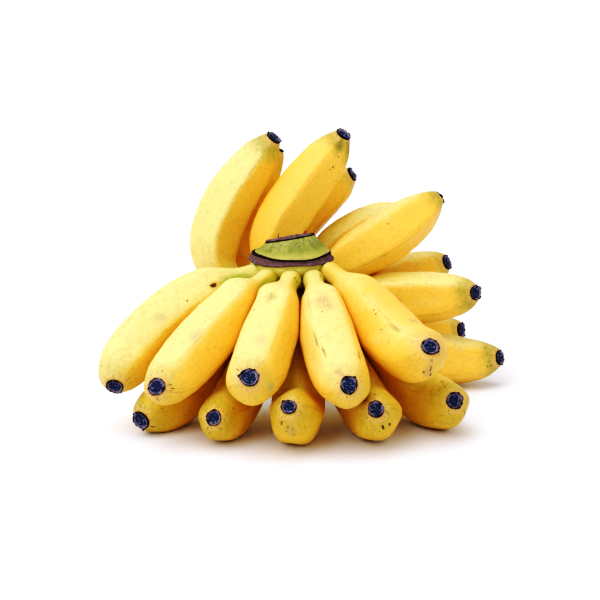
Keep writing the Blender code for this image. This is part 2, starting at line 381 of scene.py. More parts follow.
class SkyGraph(Graph):
    """The nodes of the world, with a white Background at their end."""

    def __init__(self, name: str) -> None:
        """Start a world with nothing but its output and a white background.

        Args:
            name: The world's name.
        """
        self.world = bpy.data.worlds.new(name)
        self.world.use_nodes = True
        self.tree = self.world.node_tree
        self.tree.nodes.clear()
        self.shader = self.node("ShaderNodeBackground", {}, {"Color": (1.0, 1.0, 1.0)})
        self.node("ShaderNodeOutputWorld", {}, {"Surface": self.shader.outputs[0]})

    def height_looked_to(self) -> Wire:
        """The upward part of the direction that a ray leaves in."""
        way = self.node("ShaderNodeTexCoord", {}, {}).outputs["Generated"]
        return Wire(self, self.node("ShaderNodeSeparateXYZ", {}, {"Vector": way}).outputs["Z"])


class FrameMaker:
    """Turns worked-out grids of points into pieces of the model."""

    @staticmethod
    def to_frame(points: np.ndarray) -> np.ndarray:
        """Millimetres where the fruits were set out, moved to metres in the model's frame."""
        return (points - np.array(BUNCH_CENTRE)) * MM

    @staticmethod
    def faces_of_grid(rows: int, sides: int, flipped: bool) -> list[list[int]]:
        """Faces of a grid that closes round, with a fan over the first and the last row.

        The grid's points are numbered row by row, then comes the first fan's centre and
        then the last one's. Each quad joins a point, the next one round, and the two above.

        Args:
            rows: Rows of points.
            sides: Points in a row.
            flipped: Whether each face's points are taken the other way round.

        Returns:
            The faces, all pointing the same way.
        """
        here = np.arange((rows - 1) * sides).reshape(rows - 1, sides)
        beside = np.roll(here, -1, axis=1)
        quads = np.stack([here, beside, beside + sides, here + sides], -1).reshape(-1, 4)
        ring = np.arange(sides)
        after = np.roll(ring, -1)
        first_centre = np.full(sides, rows * sides)
        last = (rows - 1) * sides
        start = np.stack([after, ring, first_centre], -1)
        end = np.stack([ring + last, after + last, first_centre + 1], -1)
        faces = quads.tolist() + start.tolist() + end.tolist()
        return [face[::-1] for face in faces] if flipped else faces

    @classmethod
    def piece(
        cls,
        name: str,
        points: np.ndarray,
        facts: dict[str, np.ndarray],
        material: bpy.types.Material,
        slot: str,
        nodes: Sequence[str] = (),
        flipped: bool = False,
    ) -> bpy.types.Object:
        """Make one closed piece from a grid, and say where it belongs.

        Args:
            name: The piece's name.
            points: The grid, rows by sides by 3, in millimetres.
            facts: Numbers or vectors at each grid point, kept as attributes.
            material: The finish.
            slot: The record's material slot; not used.
            nodes: Solids that the piece stands for.
            flipped: True for a grid whose faces would point inwards.

        Returns:
            The new object.
        """
        rows, sides, _ = points.shape
        ends = np.stack([points[0].mean(0), points[-1].mean(0)])
        corners = cls.to_frame(np.concatenate([points.reshape(-1, 3), ends]))
        mesh = bpy.data.meshes.new(name)
        mesh.from_pydata(corners.tolist(), [], cls.faces_of_grid(rows, sides, flipped))
        for key, values in facts.items():
            width = values.reshape(rows, sides, -1).shape[2]
            flat = values.reshape(rows * sides, width)
            flat = np.concatenate([flat, flat[:sides].mean(0)[None], flat[-sides:].mean(0)[None]])
            kind, part = ("FLOAT", "value") if width == 1 else ("FLOAT_VECTOR", "vector")
            attribute = mesh.attributes.new(key, kind, "POINT")
            attribute.data.foreach_set(part, flat.astype(np.float32).ravel())
        mesh.shade_smooth()
        mesh.materials.append(material)
        piece = bpy.data.objects.new(name, mesh)
        bpy.context.scene.collection.objects.link(piece)
        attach(piece, BODY)
        if nodes:
            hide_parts(*nodes)
        LOG.info("%s: %d points, stands for %s", name, len(corners), ", ".join(nodes) or "nothing")
        return piece


# Share of a fruit's length, and radius there as a share of its girth
BLUNT: Table = (
    (0.00, 0.32), (0.04, 0.36), (0.09, 0.35), (0.135, 0.38), (0.18, 0.52), (0.23, 0.70),
    (0.30, 0.86), (0.40, 0.955), (0.52, 0.99), (0.64, 1.0), (0.75, 0.98), (0.84, 0.905),
    (0.91, 0.775), (0.96, 0.60), (0.985, 0.45), (1.0, 0.34),
)
TAPERED: Table = (
    (0.00, 0.34), (0.04, 0.36), (0.09, 0.36), (0.14, 0.40), (0.20, 0.56), (0.27, 0.78),
    (0.36, 0.93), (0.47, 0.99), (0.58, 1.0), (0.70, 0.965), (0.80, 0.875), (0.88, 0.75),
    (0.94, 0.585), (0.98, 0.43), (1.0, 0.33),
)
GIRTH = 15.5
FULL_GIRTH = 16.3


@dataclass(frozen=True)
class Form:
    """How a row's fruit is shaped.

    Attributes:
        profile: How the girth changes along the fruit.
        edge: Sharpness of the ridges between facets along the body.
        end_edge: Their sharpness towards the tip.
        facets: How far each facet stands out.
    """

    profile: Table
    edge: float
    end_edge: float
    facets: tuple[float, ...] = (1.0, 1.0, 1.0, 1.0, 1.0)


PLUMP = Form(BLUNT, 6.0, 4.0)
LYING = Form(BLUNT, 7.5, 4.5, (1.0, 0.95, 1.03, 0.95, 1.0))
UPRIGHT = Form(TAPERED, 14.0, 9.0)
SPREAD = Form(TAPERED, 12.0, 8.0)

# Colours of the marks
RIM = linear(214, 132, 70)
RUST = linear(136, 76, 56)
GREY = linear(176, 168, 124)
OLIVE = linear(118, 110, 56)
BEIGE = linear(190, 156, 108)
LIME = linear(146, 172, 70)
DRY = linear(60, 40, 28)


@dataclass(frozen=True)
class Blemish:
    """One mark on a fruit's peel.

    Attributes:
        share: Place along the fruit, 0 at the root and 1 at the tip.
        angle: Place round it, in degrees.
        size: Half its length along the fruit, in millimetres.
        slim: How many times longer than wide it is.
        colour: Its colour.
        strength: How much of the peel's own colour it hides.
        soft: Whether it is a cloudy patch, and not a spot with an edge.
    """

    share: float
    angle: float
    size: float
    slim: float = 1.0
    colour: Triple = DRY
    strength: float = 0.9
    soft: bool = False


@dataclass(frozen=True)
class Swell:
    """A knob or a dent on a fruit.

    Attributes:
        share: Place along the fruit.
        angle: Place round it, in degrees.
        size: Its reach along the fruit and round it, in millimetres.
        height: How far it stands out, below 0 for a dent.
    """

    share: float
    angle: float
    size: float
    height: float


@dataclass
class Fruit:
    """One banana: a soft five-sided section carried along a curved spine.

    Attributes:
        name: Its node's name.
        form: Its row's profile, ridges and facets.
        root: Where it leaves the crown.
        third: Where its spine is after a third of the curve.
        two_thirds: Where its spine is after two thirds.
        tip: Where its flower end is.
        girth: Its largest radius.
        turn: Degrees by which the first facet is turned from the top.
        shoulder: How far one side swells where the neck widens, in millimetres.
        shoulder_at: The angle of that side, in degrees.
        painted_light_shift: How much further down its sides the painted light reaches.
        end_size: Size of its flower end beside the usual one.
        end_lean: Degrees by which its flower end is turned towards the front.
        marks: Blemishes on its peel.
        swells: Its knobs and dents.
    """

    name: str
    form: Form
    root: Triple
    third: Triple
    two_thirds: Triple
    tip: Triple
    girth: float = GIRTH
    turn: float = 0.0
    shoulder: float = 0.0
    shoulder_at: float = 0.0
    painted_light_shift: float = 0.0
    end_size: float = 1.0
    end_lean: float = 0.0
    marks: tuple[Blemish, ...] = ()
    swells: tuple[Swell, ...] = ()

    # How far the spine is led on inwards, and its points and stations
    SINK = 9.0
    CURVE_POINTS = 400
    STATIONS = 66
    # The peel's grid, and how far its rings crowd towards the tip
    RINGS = 128
    SIDES = 80
    CROWDING = 0.035
    # Sharpness of the ridges at the neck, and the shares where it changes
    NECK_EDGE = 4.0
    BODY_STARTS = (0.12, 0.30)
    BODY_ENDS = (0.55, 0.90)
    # Where and how widely the shoulder swells, as shares of the length
    SHOULDER_SHARE = 0.215
    SHOULDER_REACH = 0.065
    # How neighbours press on each other, and how far from them the painted shade reaches
    GAP = 0.12
    NEAR = 4.0
    PRESS_ROUNDS = 16
    LEAST_RADIUS = 0.25
    PRESSED_SMOOTH = 0.6
    PAINTED_SHADE_REACH = 3.0
    # The slanted tip
    TIP_RADIUS = 5.0
    LEAN_FROM = 0.88
    # Slow lumps, dimples, and how far the body is drawn in for them
    LUMPS = Ripples((1, 2, 3), 45.0, 0.30)
    DIMPLES = Ripples((3, 5, 7, 9), 16.0, 0.10, 1)
    DRAWN_IN = 0.17
    # Shares of the length: where they begin, and over how much they come in and fade out
    LUMPS_FROM = 0.15
    LUMPS_COME = 0.2
    LUMPS_GO = 0.1
    # The head where the neck meets the crown, and the creases over it
    HEAD = 0.5
    HEAD_AT = 5.5
    HEAD_REACH = 3.0
    CREASES = 0.07
    CREASES_AT = 11.0
    CREASES_REACH = 5.0
    CREASE_PACE = 2.4
    CREASE_BEND = 1.2
    CREASE_TURNS = 3
    # Flutes where the peel gathers at the tip
    FLUTES = 0.08
    FLUTE_COUNT = 11
    FLUTES_FROM = 0.95
    FLUTES_COME = 0.04
    # The way to the sky, a little forward and to the left, from which the painted light on the peel falls
    SKY_WAY = (-0.45, -0.22, 0.87)
    # Share inwards, height over the tip, and radius of the flower end
    END_PROFILE = (
        (0.00, -1.4, 4.0), (0.12, -0.2, 4.35), (0.24, 0.7, 4.65), (0.34, 1.25, 4.6), (0.42, 1.3, 4.2),
        (0.52, 0.85, 3.7), (0.64, 0.5, 3.0), (0.78, 0.45, 2.0), (0.90, 0.6, 1.0), (1.0, 0.65, 0.12),
    )
    END_RINGS = 40
    END_SIDES = 72
    RIM_AT = 0.34
    RIM_REACH = 0.12
    # The stubs on the rim: how many, and their least and greatest strength and width in radians
    STUBS = 4
    STUB_STRENGTH = (0.4, 1.0)
    STUB_WIDTH = (0.10, 0.22)
    # How far the ragged edge and the stubs raise the rim, and push it outwards as a share
    RAGGED = Ripples((2, 3, 5, 8, 13), 9.0, 1.0, 5, 10.0)
    RAGGED_UP = 0.3
    STUBS_UP = 0.35
    RAGGED_OUT = 0.06
    STUBS_OUT = 0.13
    OVAL = 0.04
    # Crumbs in the cup, and the shares inwards over which the cup begins and ends
    CRUMBS = Ripples((3, 5, 7), 5.0, 1.0, 7, 22.0)
    CRUMB_PATCHES = Ripples((1, 2, 4), 6.0, 1.0, 0, 9.0)
    CRUMBS_UP = 0.7
    CRUMB_FLOOR = -0.35
    CUP_STARTS = (0.45, 0.6)
    CUP_ENDS = (1.0, 0.9)

    def __post_init__(self) -> None:
        """Work out the spine and the frames along it.

        The spine is the cubic Bezier curve through four way points, led straight inwards from
        the root. Stations lie at equal distances on it, and each normal is the last one with
        its part along the new tangent taken away.
        """
        way_points = (self.root, self.third, self.two_thirds, self.tip)
        start, near, far, end = (np.array(point, float) for point in way_points)
        near_handle = (-5 * start + 18 * near - 9 * far + 2 * end) / 6
        far_handle = (2 * start - 9 * near + 18 * far - 5 * end) / 6
        s = np.linspace(0, 1, self.CURVE_POINTS)[:, None]
        curve = (1 - s) ** 3 * start + 3 * s * (1 - s) ** 2 * near_handle
        curve = curve + 3 * s * s * (1 - s) * far_handle + s**3 * end
        inward = (curve[0] - curve[1]) / np.linalg.norm(curve[0] - curve[1])
        line = np.vstack([curve[0] + inward * self.SINK, curve])
        steps = np.linalg.norm(np.diff(line, axis=0), axis=1)
        run = np.concatenate([[0.0], np.cumsum(steps)]) - self.SINK
        self.length = float(run[-1])
        self.along = np.linspace(-self.SINK, self.length, self.STATIONS)
        self.spine = np.stack([np.interp(self.along, run, line[:, i]) for i in range(3)], -1)
        tangents = np.gradient(self.spine, axis=0)
        self.tangents = tangents / np.linalg.norm(tangents, axis=1)[:, None]
        up = np.array((0.0, 0.0, 1.0))
        normal = up - self.tangents[0] * (up @ self.tangents[0])
        normals = [normal / np.linalg.norm(normal)]
        for tangent in self.tangents[1:]:
            normal = normals[-1] - tangent * (normals[-1] @ tangent)
            normals.append(normal / np.linalg.norm(normal))
        self.normals = np.array(normals)
        self.sideways = np.cross(self.tangents, self.normals)
        self.seed = sum(ord(letter) * (place + 3) for place, letter in enumerate(self.name))

    @property
    def row(self) -> Row:
        """The row that the fruit grows in."""
        return Row(self.name.rsplit("_", 1)[0])

    def round_radius(self, along: np.ndarray) -> np.ndarray:
        """Girth times the profile: the radius of the round that the section is cut from."""
        return self.girth * table_value(self.form.profile, along / self.length)

    def radius(self, along: np.ndarray, angle: np.ndarray) -> np.ndarray:
        """Radius of the soft five-sided section.

        Each facet is a flat face at its own reach. The radius is the round one over the
        p-norm of the cosines between the angle and the facets' directions, evened out so that
        sharper ridges leave the fruit no thicker. The power p is low at the neck, high along
        the body and lower again at the tip. One side swells at the shoulder.

        Args:
            along: Distance from the root.
            angle: Angle round the spine, 0 on the side of the normals.

        Returns:
            The radius, in millimetres.
        """
        share = along / self.length
        power = self.NECK_EDGE + (self.form.edge - self.NECK_EDGE) * rise(share, *self.BODY_STARTS)
        power = power + (self.form.end_edge - self.form.edge) * rise(share, *self.BODY_ENDS)
        total = 0.0
        for facet, reach in enumerate(self.form.facets):
            facing = np.cos(angle - math.radians(self.turn) - facet * math.tau / len(self.form.facets))
            total = total + (np.maximum(facing, 0.0) / reach) ** power
        section = total ** (-1 / power) / (1 + 0.05 * np.log(power / 3))
        side = np.clip(np.cos(angle - math.radians(self.shoulder_at)), 0, 1) ** 2
        swell = self.shoulder * side * np.exp(-((share - self.SHOULDER_SHARE) / self.SHOULDER_REACH) ** 2)
        return self.round_radius(along) * section + swell

    def ridge(self, angle: np.ndarray) -> np.ndarray:
        """How near an angle is to a ridge between facets.

        Args:
            angle: Angle round the spine.

        Returns:
            1 on the ridges, falling to 0 in the middle of each facet.
        """
        half = math.pi / len(self.form.facets)
        off = np.mod(angle - math.radians(self.turn), 2 * half)
        return 1 - np.abs(off - half) / half

    def read(self, rows: np.ndarray, along: np.ndarray) -> np.ndarray:
        """Values of a row for each station, read at any place along the spine."""
        return np.stack([np.interp(along, self.along, rows[:, i]) for i in range(3)], -1)

    def height_over(self, points: np.ndarray) -> np.ndarray:
        """Rough distance of points from this fruit's surface, below 0 inside it.

        The nearest station is the one whose ball the point is nearest to, and the point's
        radius about the spine there is compared with the section's.

        Args:
            points: Places, n by 3.

        Returns:
            n distances.
        """
        apart = np.linalg.norm(points[:, None] - self.spine[None], axis=2)
        nearest = np.argmin(apart - self.round_radius(self.along)[None], axis=1)
        step = self.along[1] - self.along[0]
        past = np.einsum("ij,ij->i", points - self.spine[nearest], self.tangents[nearest])
        along = self.along[nearest] + np.clip(past, -step / 2, step / 2)
        along = np.clip(along, self.along[0], self.length)
        out = points - self.read(self.spine, along)
        across = np.einsum("ij,ij->i", out, self.read(self.sideways, along))
        upward = np.einsum("ij,ij->i", out, self.read(self.normals, along))
        return np.linalg.norm(out, axis=1) - self.radius(along, np.arctan2(across, upward))

    def touches(self, other: "Fruit") -> bool:
        """Whether another fruit lies close enough to press on this one."""
        apart = np.linalg.norm(self.spine[:, None] - other.spine[None], axis=2).min()
        return bool(apart < self.girth + other.girth + self.NEAR)

    def leaned(self, points: np.ndarray, amount: Any) -> np.ndarray:
        """Slant the tip so that its flower end is turned to the front.

        A point moves back along the last tangent by its distance in front of the spine's end,
        and by a tip's radius more, times the tangent of the lean.

        Args:
            points: Places near the tip.
            amount: How much of the lean each gets, 0 to 1.

        Returns:
            The moved places.
        """
        tangent = self.tangents[-1]
        front = np.array((0.0, -1.0, 0.0))
        front = front - tangent * (front @ tangent)
        front = front / np.linalg.norm(front)
        ahead = (points - self.spine[-1]) @ front
        slope = math.tan(math.radians(self.end_lean))
        return points - tangent * ((ahead + self.TIP_RADIUS) * amount * slope)[..., None]

    def relief(self, along: np.ndarray, angle: np.ndarray) -> np.ndarray:
        """Small forms on the free surface, in millimetres.

        Slow lumps run over the whole fruit, a head swells at the root, fine creases ring the
        neck, and shallow flutes gather the peel at the tip. A knob is a bell of the distance
        from its middle, along the fruit and round it.

        Args:
            along: Distance from the root.
            angle: Angle round the spine.

        Returns:
            What is added to the radius.
        """
        share = along / self.length
        body = np.clip((share - self.LUMPS_FROM) / self.LUMPS_COME, 0, 1)
        body = body * np.clip((1 - share) / self.LUMPS_GO, 0, 1)
        lumps = self.LUMPS.over(angle, along, self.seed)
        dimples = self.DIMPLES.over(angle, along, self.seed)
        head = self.HEAD * np.exp(-((along - self.HEAD_AT) / self.HEAD_REACH) ** 2)
        creased = np.exp(-((along - self.CREASES_AT) / self.CREASES_REACH) ** 2)
        bent = self.CREASE_BEND * np.sin(self.CREASE_TURNS * angle)
        creases = self.CREASES * np.sin(along * self.CREASE_PACE + bent) * creased
        gathered = np.clip((share - self.FLUTES_FROM) / self.FLUTES_COME, 0, 1)
        flutes = self.FLUTES * np.sin(self.FLUTE_COUNT * angle + self.seed) * gathered
        total = body * (lumps + dimples - self.DRAWN_IN) + head + creases + flutes
        for swell in self.swells:
            ahead = along - swell.share * self.length
            round_it = self.girth * np.angle(np.exp(1j * (angle - math.radians(swell.angle))))
            total = total + swell.height * np.exp(-(ahead**2 + round_it**2) / swell.size**2)
        return total

    def surface(self, others: Sequence["Fruit"]) -> tuple[np.ndarray, dict[str, np.ndarray]]:
        """The whole peel as a grid of points, drawn in where neighbours and the surface press.

        A point is the spine plus its outward direction times the radius. Where a neighbour's
        surface is nearer than the gap, the radius gives way by half of what is missing, round
        after round, so that both fruits meet on the middle surface between them.

        Args:
            others: Fruits that may press on this one.

        Returns:
            The grid and the facts kept with it.
        """
        even = np.linspace(0.0, 1.0, self.RINGS)
        crowded_even = even + self.CROWDING * np.sin(math.pi * even) * even
        along = -self.SINK + crowded_even * (self.length + self.SINK)
        angle = np.arange(self.SIDES) * math.tau / self.SIDES
        centre = self.read(self.spine, along)[:, None]
        outward = (
            self.read(self.normals, along)[:, None] * np.cos(angle)[None, :, None]
            + self.read(self.sideways, along)[:, None] * np.sin(angle)[None, :, None]
        )
        along, angle = np.meshgrid(along, angle, indexing="ij")
        free = self.radius(along, angle)
        radius = free.copy().ravel()
        middle = np.broadcast_to(centre, outward.shape).reshape(-1, 3)
        way = outward.reshape(-1, 3)
        points = middle + way * radius[:, None]
        heights = [other.height_over(points) for other in others]
        crowded = [(other, np.flatnonzero(height < self.NEAR)) for other, height in zip(others, heights)]
        closest = np.min(heights, axis=0).reshape(free.shape)
        for _ in range(self.PRESS_ROUNDS):
            crowding = np.zeros(len(points))
            for other, rows in crowded:
                near = middle[rows] + way[rows] * radius[rows, None]
                own_height = radius[rows] - free.ravel()[rows]
                crowding[rows] = np.maximum(crowding[rows], self.GAP - other.height_over(near) + own_height)
            radius = np.maximum(radius - crowding / 2, self.LEAST_RADIUS * free.ravel())
        pressed = free - radius.reshape(free.shape)
        loose = np.clip(1 - pressed / self.PRESSED_SMOOTH, 0, 1)
        points = centre + outward * (free - pressed + loose * self.relief(along, angle))[..., None]
        points = self.leaned(points, rise(along / self.length, self.LEAN_FROM, 1.0))
        points[..., 2] = np.maximum(points[..., 2], 0.0)
        grown = np.stack([self.girth * np.cos(angle), self.girth * np.sin(angle), along], -1)
        facts = {
            "grown": grown,
            "share": along / self.length,
            "ridge": self.ridge(angle),
            # How squarely the peel faces the sky, which sets where the painted light is laid
            "bloom": self.open_to_sky(points),
            # How near a neighbour is, which sets where painted shade is laid
            "shelter": np.exp(-np.maximum(closest, 0) / self.PAINTED_SHADE_REACH),
        }
        return points, facts

    @classmethod
    def open_to_sky(cls, points: np.ndarray) -> np.ndarray:
        """How squarely each point of the grid faces the sky, from -1 to 1.

        The normal is the cross product of the steps along and round the grid.

        Args:
            points: The grid.

        Returns:
            The cosine between the normal and the sky's direction.
        """
        along = np.gradient(points, axis=0)
        around = np.roll(points, -1, axis=1) - np.roll(points, 1, axis=1)
        normal = np.cross(around, along)
        normal = normal / np.maximum(np.linalg.norm(normal, axis=2, keepdims=True), 1e-9)
        sky = np.array(cls.SKY_WAY)
        return normal @ (sky / np.linalg.norm(sky))

    def flower_end(self) -> tuple[np.ndarray, dict[str, np.ndarray]]:
        """The dried flower end: a ragged black crust round a cup of pale crumbs.

        The profile runs from under the peel out over the rim and in to the middle. Narrow
        bells of the angle are the withered stubs on the rim, and sines make it uneven. Two
        sums of sines raise crumbs in the cup.

        Returns:
            The grid and the facts kept with it.
        """
        s = np.linspace(0.0, 1.0, self.END_RINGS)
        out, radius = read_columns(self.END_PROFILE, s)
        radius = radius * self.end_size
        angle = np.arange(self.END_SIDES) * math.tau / self.END_SIDES
        s, angle = np.meshgrid(s, angle, indexing="ij")
        draw = np.random.default_rng(self.seed + 6)
        stubs = 0.0
        for _ in range(self.STUBS):
            off = np.angle(np.exp(1j * (angle - draw.uniform(0, math.tau))))
            strength = draw.uniform(*self.STUB_STRENGTH)
            stubs = stubs + strength * np.exp(-((off / draw.uniform(*self.STUB_WIDTH)) ** 2))
        rim = np.exp(-(((s - self.RIM_AT) / self.RIM_REACH) ** 2))
        ragged = self.RAGGED.over(angle, s, self.seed)
        crumbs = self.CRUMBS.over(angle, s, self.seed) * self.CRUMB_PATCHES.over(angle, s, self.seed)
        cup = rise(s, *self.CUP_STARTS) * rise(s, *self.CUP_ENDS)
        height = out[:, None] + rim * (self.RAGGED_UP * ragged + self.STUBS_UP * stubs)
        height = height + self.CRUMBS_UP * cup * np.maximum(crumbs, self.CRUMB_FLOOR)
        oval = self.OVAL * np.sin(2 * angle + self.seed)
        wide = radius[:, None] * (1 + rim * (self.RAGGED_OUT * ragged + self.STUBS_OUT * stubs) + oval)
        ring = np.cos(angle)[..., None] * self.normals[-1] + np.sin(angle)[..., None] * self.sideways[-1]
        points = self.spine[-1] + self.tangents[-1] * height[..., None] + ring * wide[..., None]
        points = self.leaned(points, 1.0)
        face = np.stack([wide * np.cos(angle), wide * np.sin(angle), height + self.seed], -1)
        return points, {"face": face, "inward": s, "crumb": crumbs * cup}


@dataclass(frozen=True)
class PeelFinish:
    """The finish of a row's peel.

    Attributes:
        lemon: Pale colour painted on the sides that face the sky, as painted light.
        golden: Colour of the other sides.
        amber: Colour of the painted shade near neighbours, also used for the lengthwise marks on the sides
            turned from the sky.
        dusty: Colour of the thin film that lies in patches where the painted light falls.
        green: Colour where the fruit is least ripe, at its neck.
        olive: Colour of the same at its tip.
        ridge_line: Colour of the thin worn line along a ridge.
        freckle: Colour of small spots.
        blush: Colour of the dry skin round the flower end.
        greenness: How far the green goes at the neck, 0 to 1.
        olive_tip: How far the olive goes at the tip, 0 to 1.
        freckled: How many freckles there are, 0 to 1.
        painted_shade_strength: How strong the painted shade near neighbours is.
        filmed: How strong the thin film is.
        smudged: How strong the olive smudges are.
        grained: How strong the fine olive grain is.
        streak_shade_strength: How strong the amber streaks are; real lengthwise streaks, drawn only on the
            sides turned from the sky as painted shade.
        rubbed: How strong the line along a ridge is.
        blushed: How strong the blush round the flower end is.
        bump: Depth of the skin's relief, in metres.
    """

    lemon: Triple = linear(236, 218, 138)
    golden: Triple = linear(248, 198, 98)
    amber: Triple = linear(220, 154, 62)
    dusty: Triple = linear(204, 182, 116)
    green: Triple = linear(164, 172, 74)
    olive: Triple = linear(164, 150, 74)
    ridge_line: Triple = linear(188, 140, 80)
    freckle: Triple = linear(92, 64, 46)
    blush: Triple = linear(222, 178, 118)
    greenness: float = 0.75
    olive_tip: float = 0.35
    freckled: float = 0.5
    painted_shade_strength: float = 0.75
    filmed: float = 0.42
    smudged: float = 0.30
    grained: float = 0.26
    streak_shade_strength: float = 0.34
    rubbed: float = 0.40
    blushed: float = 0.55
    bump: float = 0.00022

    def skin_colour(self, g: Graph, fruit: Fruit, skin: Wire, lines: Wire, fine: Wire) -> Wire:
        """The peel without its spots: painted light and painted shade, film, greens and ridges.

        Args:
            g: The material's nodes.
            fruit: The fruit.
            skin: Places on the peel.
            lines: Noise drawn out along the fruit.
            fine: Fine noise.

        Returns:
            The colour.
        """
        share = g.value_of("share")
        open_sky = g.value_of("bloom")
        clouds = g.noise(skin, 0.07, 3.0, 0.6)
        mottle = g.noise(skin, 0.26, 4.0, 0.65)
        clouded, mottled, speckled = clouds - 0.5, mottle - 0.5, fine - 0.5
        # Painted light: the sides that face the sky are drawn pale lemon, the others golden
        bloom = open_sky + 0.5 * clouded + 0.4 * mottled + 0.3 * (lines - 0.5)
        colour = g.blend(g.ease(bloom + fruit.painted_light_shift, 0.30, 0.95), self.golden, self.lemon)
        # Painted shade: the peel near a neighbouring fruit is drawn amber
        colour = g.blend(g.ease(g.value_of("shelter"), 0.35, 1.0) * self.painted_shade_strength, colour, self.amber)
        film = g.ease(mottle + 0.5 * speckled + 0.5 * clouded, 0.50, 0.72)
        colour = g.blend(film * g.ease(open_sky, 0.1, 0.7) * self.filmed, colour, self.dusty)
        smudge = g.ease(g.noise(skin, 0.22, 5.0, 0.7), 0.55, 0.72)
        colour = g.blend(smudge * self.smudged, colour, self.olive)
        colour = g.blend(g.ease(fine, 0.50, 0.34) * self.grained, colour, self.olive)
        # Real lengthwise streaks, kept to the sides turned from the sky and drawn in amber: partly painted
        # shade
        streaks_in_shade = g.ease(lines + 0.4 * mottled, 0.54, 0.70) * g.ease(open_sky, 0.75, 0.2)
        colour = g.blend(streaks_in_shade * self.streak_shade_strength, colour, self.amber)
        # The green neck is the fruit's own colour; it is drawn stronger on the sides turned from the sky,
        # as painted shade
        neck = g.ease(share + 0.10 * mottled, 0.24, 0.05)
        shade = g.ease(open_sky, 0.7, -0.2)
        colour = g.blend(neck * (0.40 + 0.60 * shade) * self.greenness, colour, self.green)
        end = g.ease(share + 0.16 * mottled + 0.05 * speckled, 0.84, 0.99)
        colour = g.blend(end * self.olive_tip, colour, self.olive)
        worn = g.ease(g.value_of("ridge") + 0.10 * mottled, 0.90, 0.99) * g.ease(lines, 0.42, 0.62)
        colour = g.blend(worn * g.ease(share, 0.15, 0.3) * self.rubbed, colour, self.ridge_line)
        blush = g.ease(share + 0.03 * speckled + 0.05 * mottled, 0.97, 0.995)
        return g.blend(blush * self.blushed, colour, self.blush)

    def spots(self, g: Graph, skin: Wire, shift: Triple) -> Wire:
        """Freckles gathered towards the tip, pin pricks, and dark ticks at the flower end.

        Args:
            g: The material's nodes.
            skin: Places on the peel.
            shift: The fruit's own move of its patterns.

        Returns:
            How much of the freckles' colour shows.
        """
        share = g.value_of("share")
        near = g.cells(g.sway(skin, 1.3, 0.5), 0.42)
        crowd = g.ease(g.noise(skin, 0.12, 2.0), 0.62 - 0.16 * self.freckled, 0.8)
        spread = g.maths("MAXIMUM", g.ease(share, 0.72, 1.0), crowd * 0.6)
        dots = g.ease(near - 0.20 * self.freckled * spread, 0.05, 0.0) * spread
        pins = g.cells(g.place("grown", (1.0, 1.0, 0.8), shift), 0.7)
        pinned = g.ease(pins, 0.17, 0.06) * g.ease(g.noise(skin, 0.16, 2.0), 0.50, 0.60)
        ticks = g.noise(g.place("grown", (1.0, 1.0, 0.5), shift), 0.75, 2.0, 0.5)
        ticked = g.ease(ticks, 0.60, 0.70) * g.ease(share, 0.965, 0.99)
        return g.maths("MAXIMUM", g.maths("MAXIMUM", dots * 0.8, pinned * 0.6), ticked * 0.7)

    def material(self, fruit: Fruit) -> bpy.types.Material:
        """Make one fruit's peel.

        Args:
            fruit: The fruit, whose seed moves the patterns and whose marks are drawn.

        Returns:
            The material.
        """
        g = Graph(f"peel_{fruit.name}")
        shift = (fruit.seed % 97 * 1.7, fruit.seed % 61 * 2.3, fruit.seed % 43 * 3.1)
        skin = g.place("grown", (1.0, 1.0, 1.0), shift)
        lines = g.noise(g.place("grown", (1.0, 1.0, 0.08), shift), 0.9, 3.0, 0.6)
        fine = g.noise(skin, 0.8, 4.0, 0.7)
        spotted = self.spots(g, skin, shift)
        colour = g.blend(spotted, self.skin_colour(g, fruit, skin, lines, fine), self.freckle)
        hide = spotted
        for mark in fruit.marks:
            angle = math.radians(mark.angle)
            middle = (
                fruit.girth * math.cos(angle) + shift[0],
                fruit.girth * math.sin(angle) + shift[1],
                mark.share * fruit.length / mark.slim + shift[2],
            )
            plate = g.place("grown", (1.0, 1.0, 1.0 / mark.slim), shift)
            reach = mark.size / mark.slim
            near = g.distance(g.sway(plate, 0.8 / reach, 1.1 * reach), middle)
            shown = g.ease(near, reach, 0.55 * reach)
            if mark.soft:
                shown = g.ease(near, 1.3 * reach, 0.1 * reach) * g.ease(fine, 0.30, 0.58)
            colour = g.blend(shown * mark.strength, colour, mark.colour)
            hide = hide + shown
        pores = g.noise(skin, 2.2, 2.0, 0.5)
        height = 0.55 * lines + 0.25 * pores + 0.3 * fine - 0.3 * hide
        g.relief(height, self.bump)
        rough = 0.44 + 0.14 * fine + 0.12 * hide
        return g.finish(
            Base_Color=colour, Roughness=rough, Specular_IOR_Level=0.32,
            Subsurface_Weight=0.06, Subsurface_Radius=(0.9, 0.45, 0.12), Subsurface_Scale=0.004,
        )


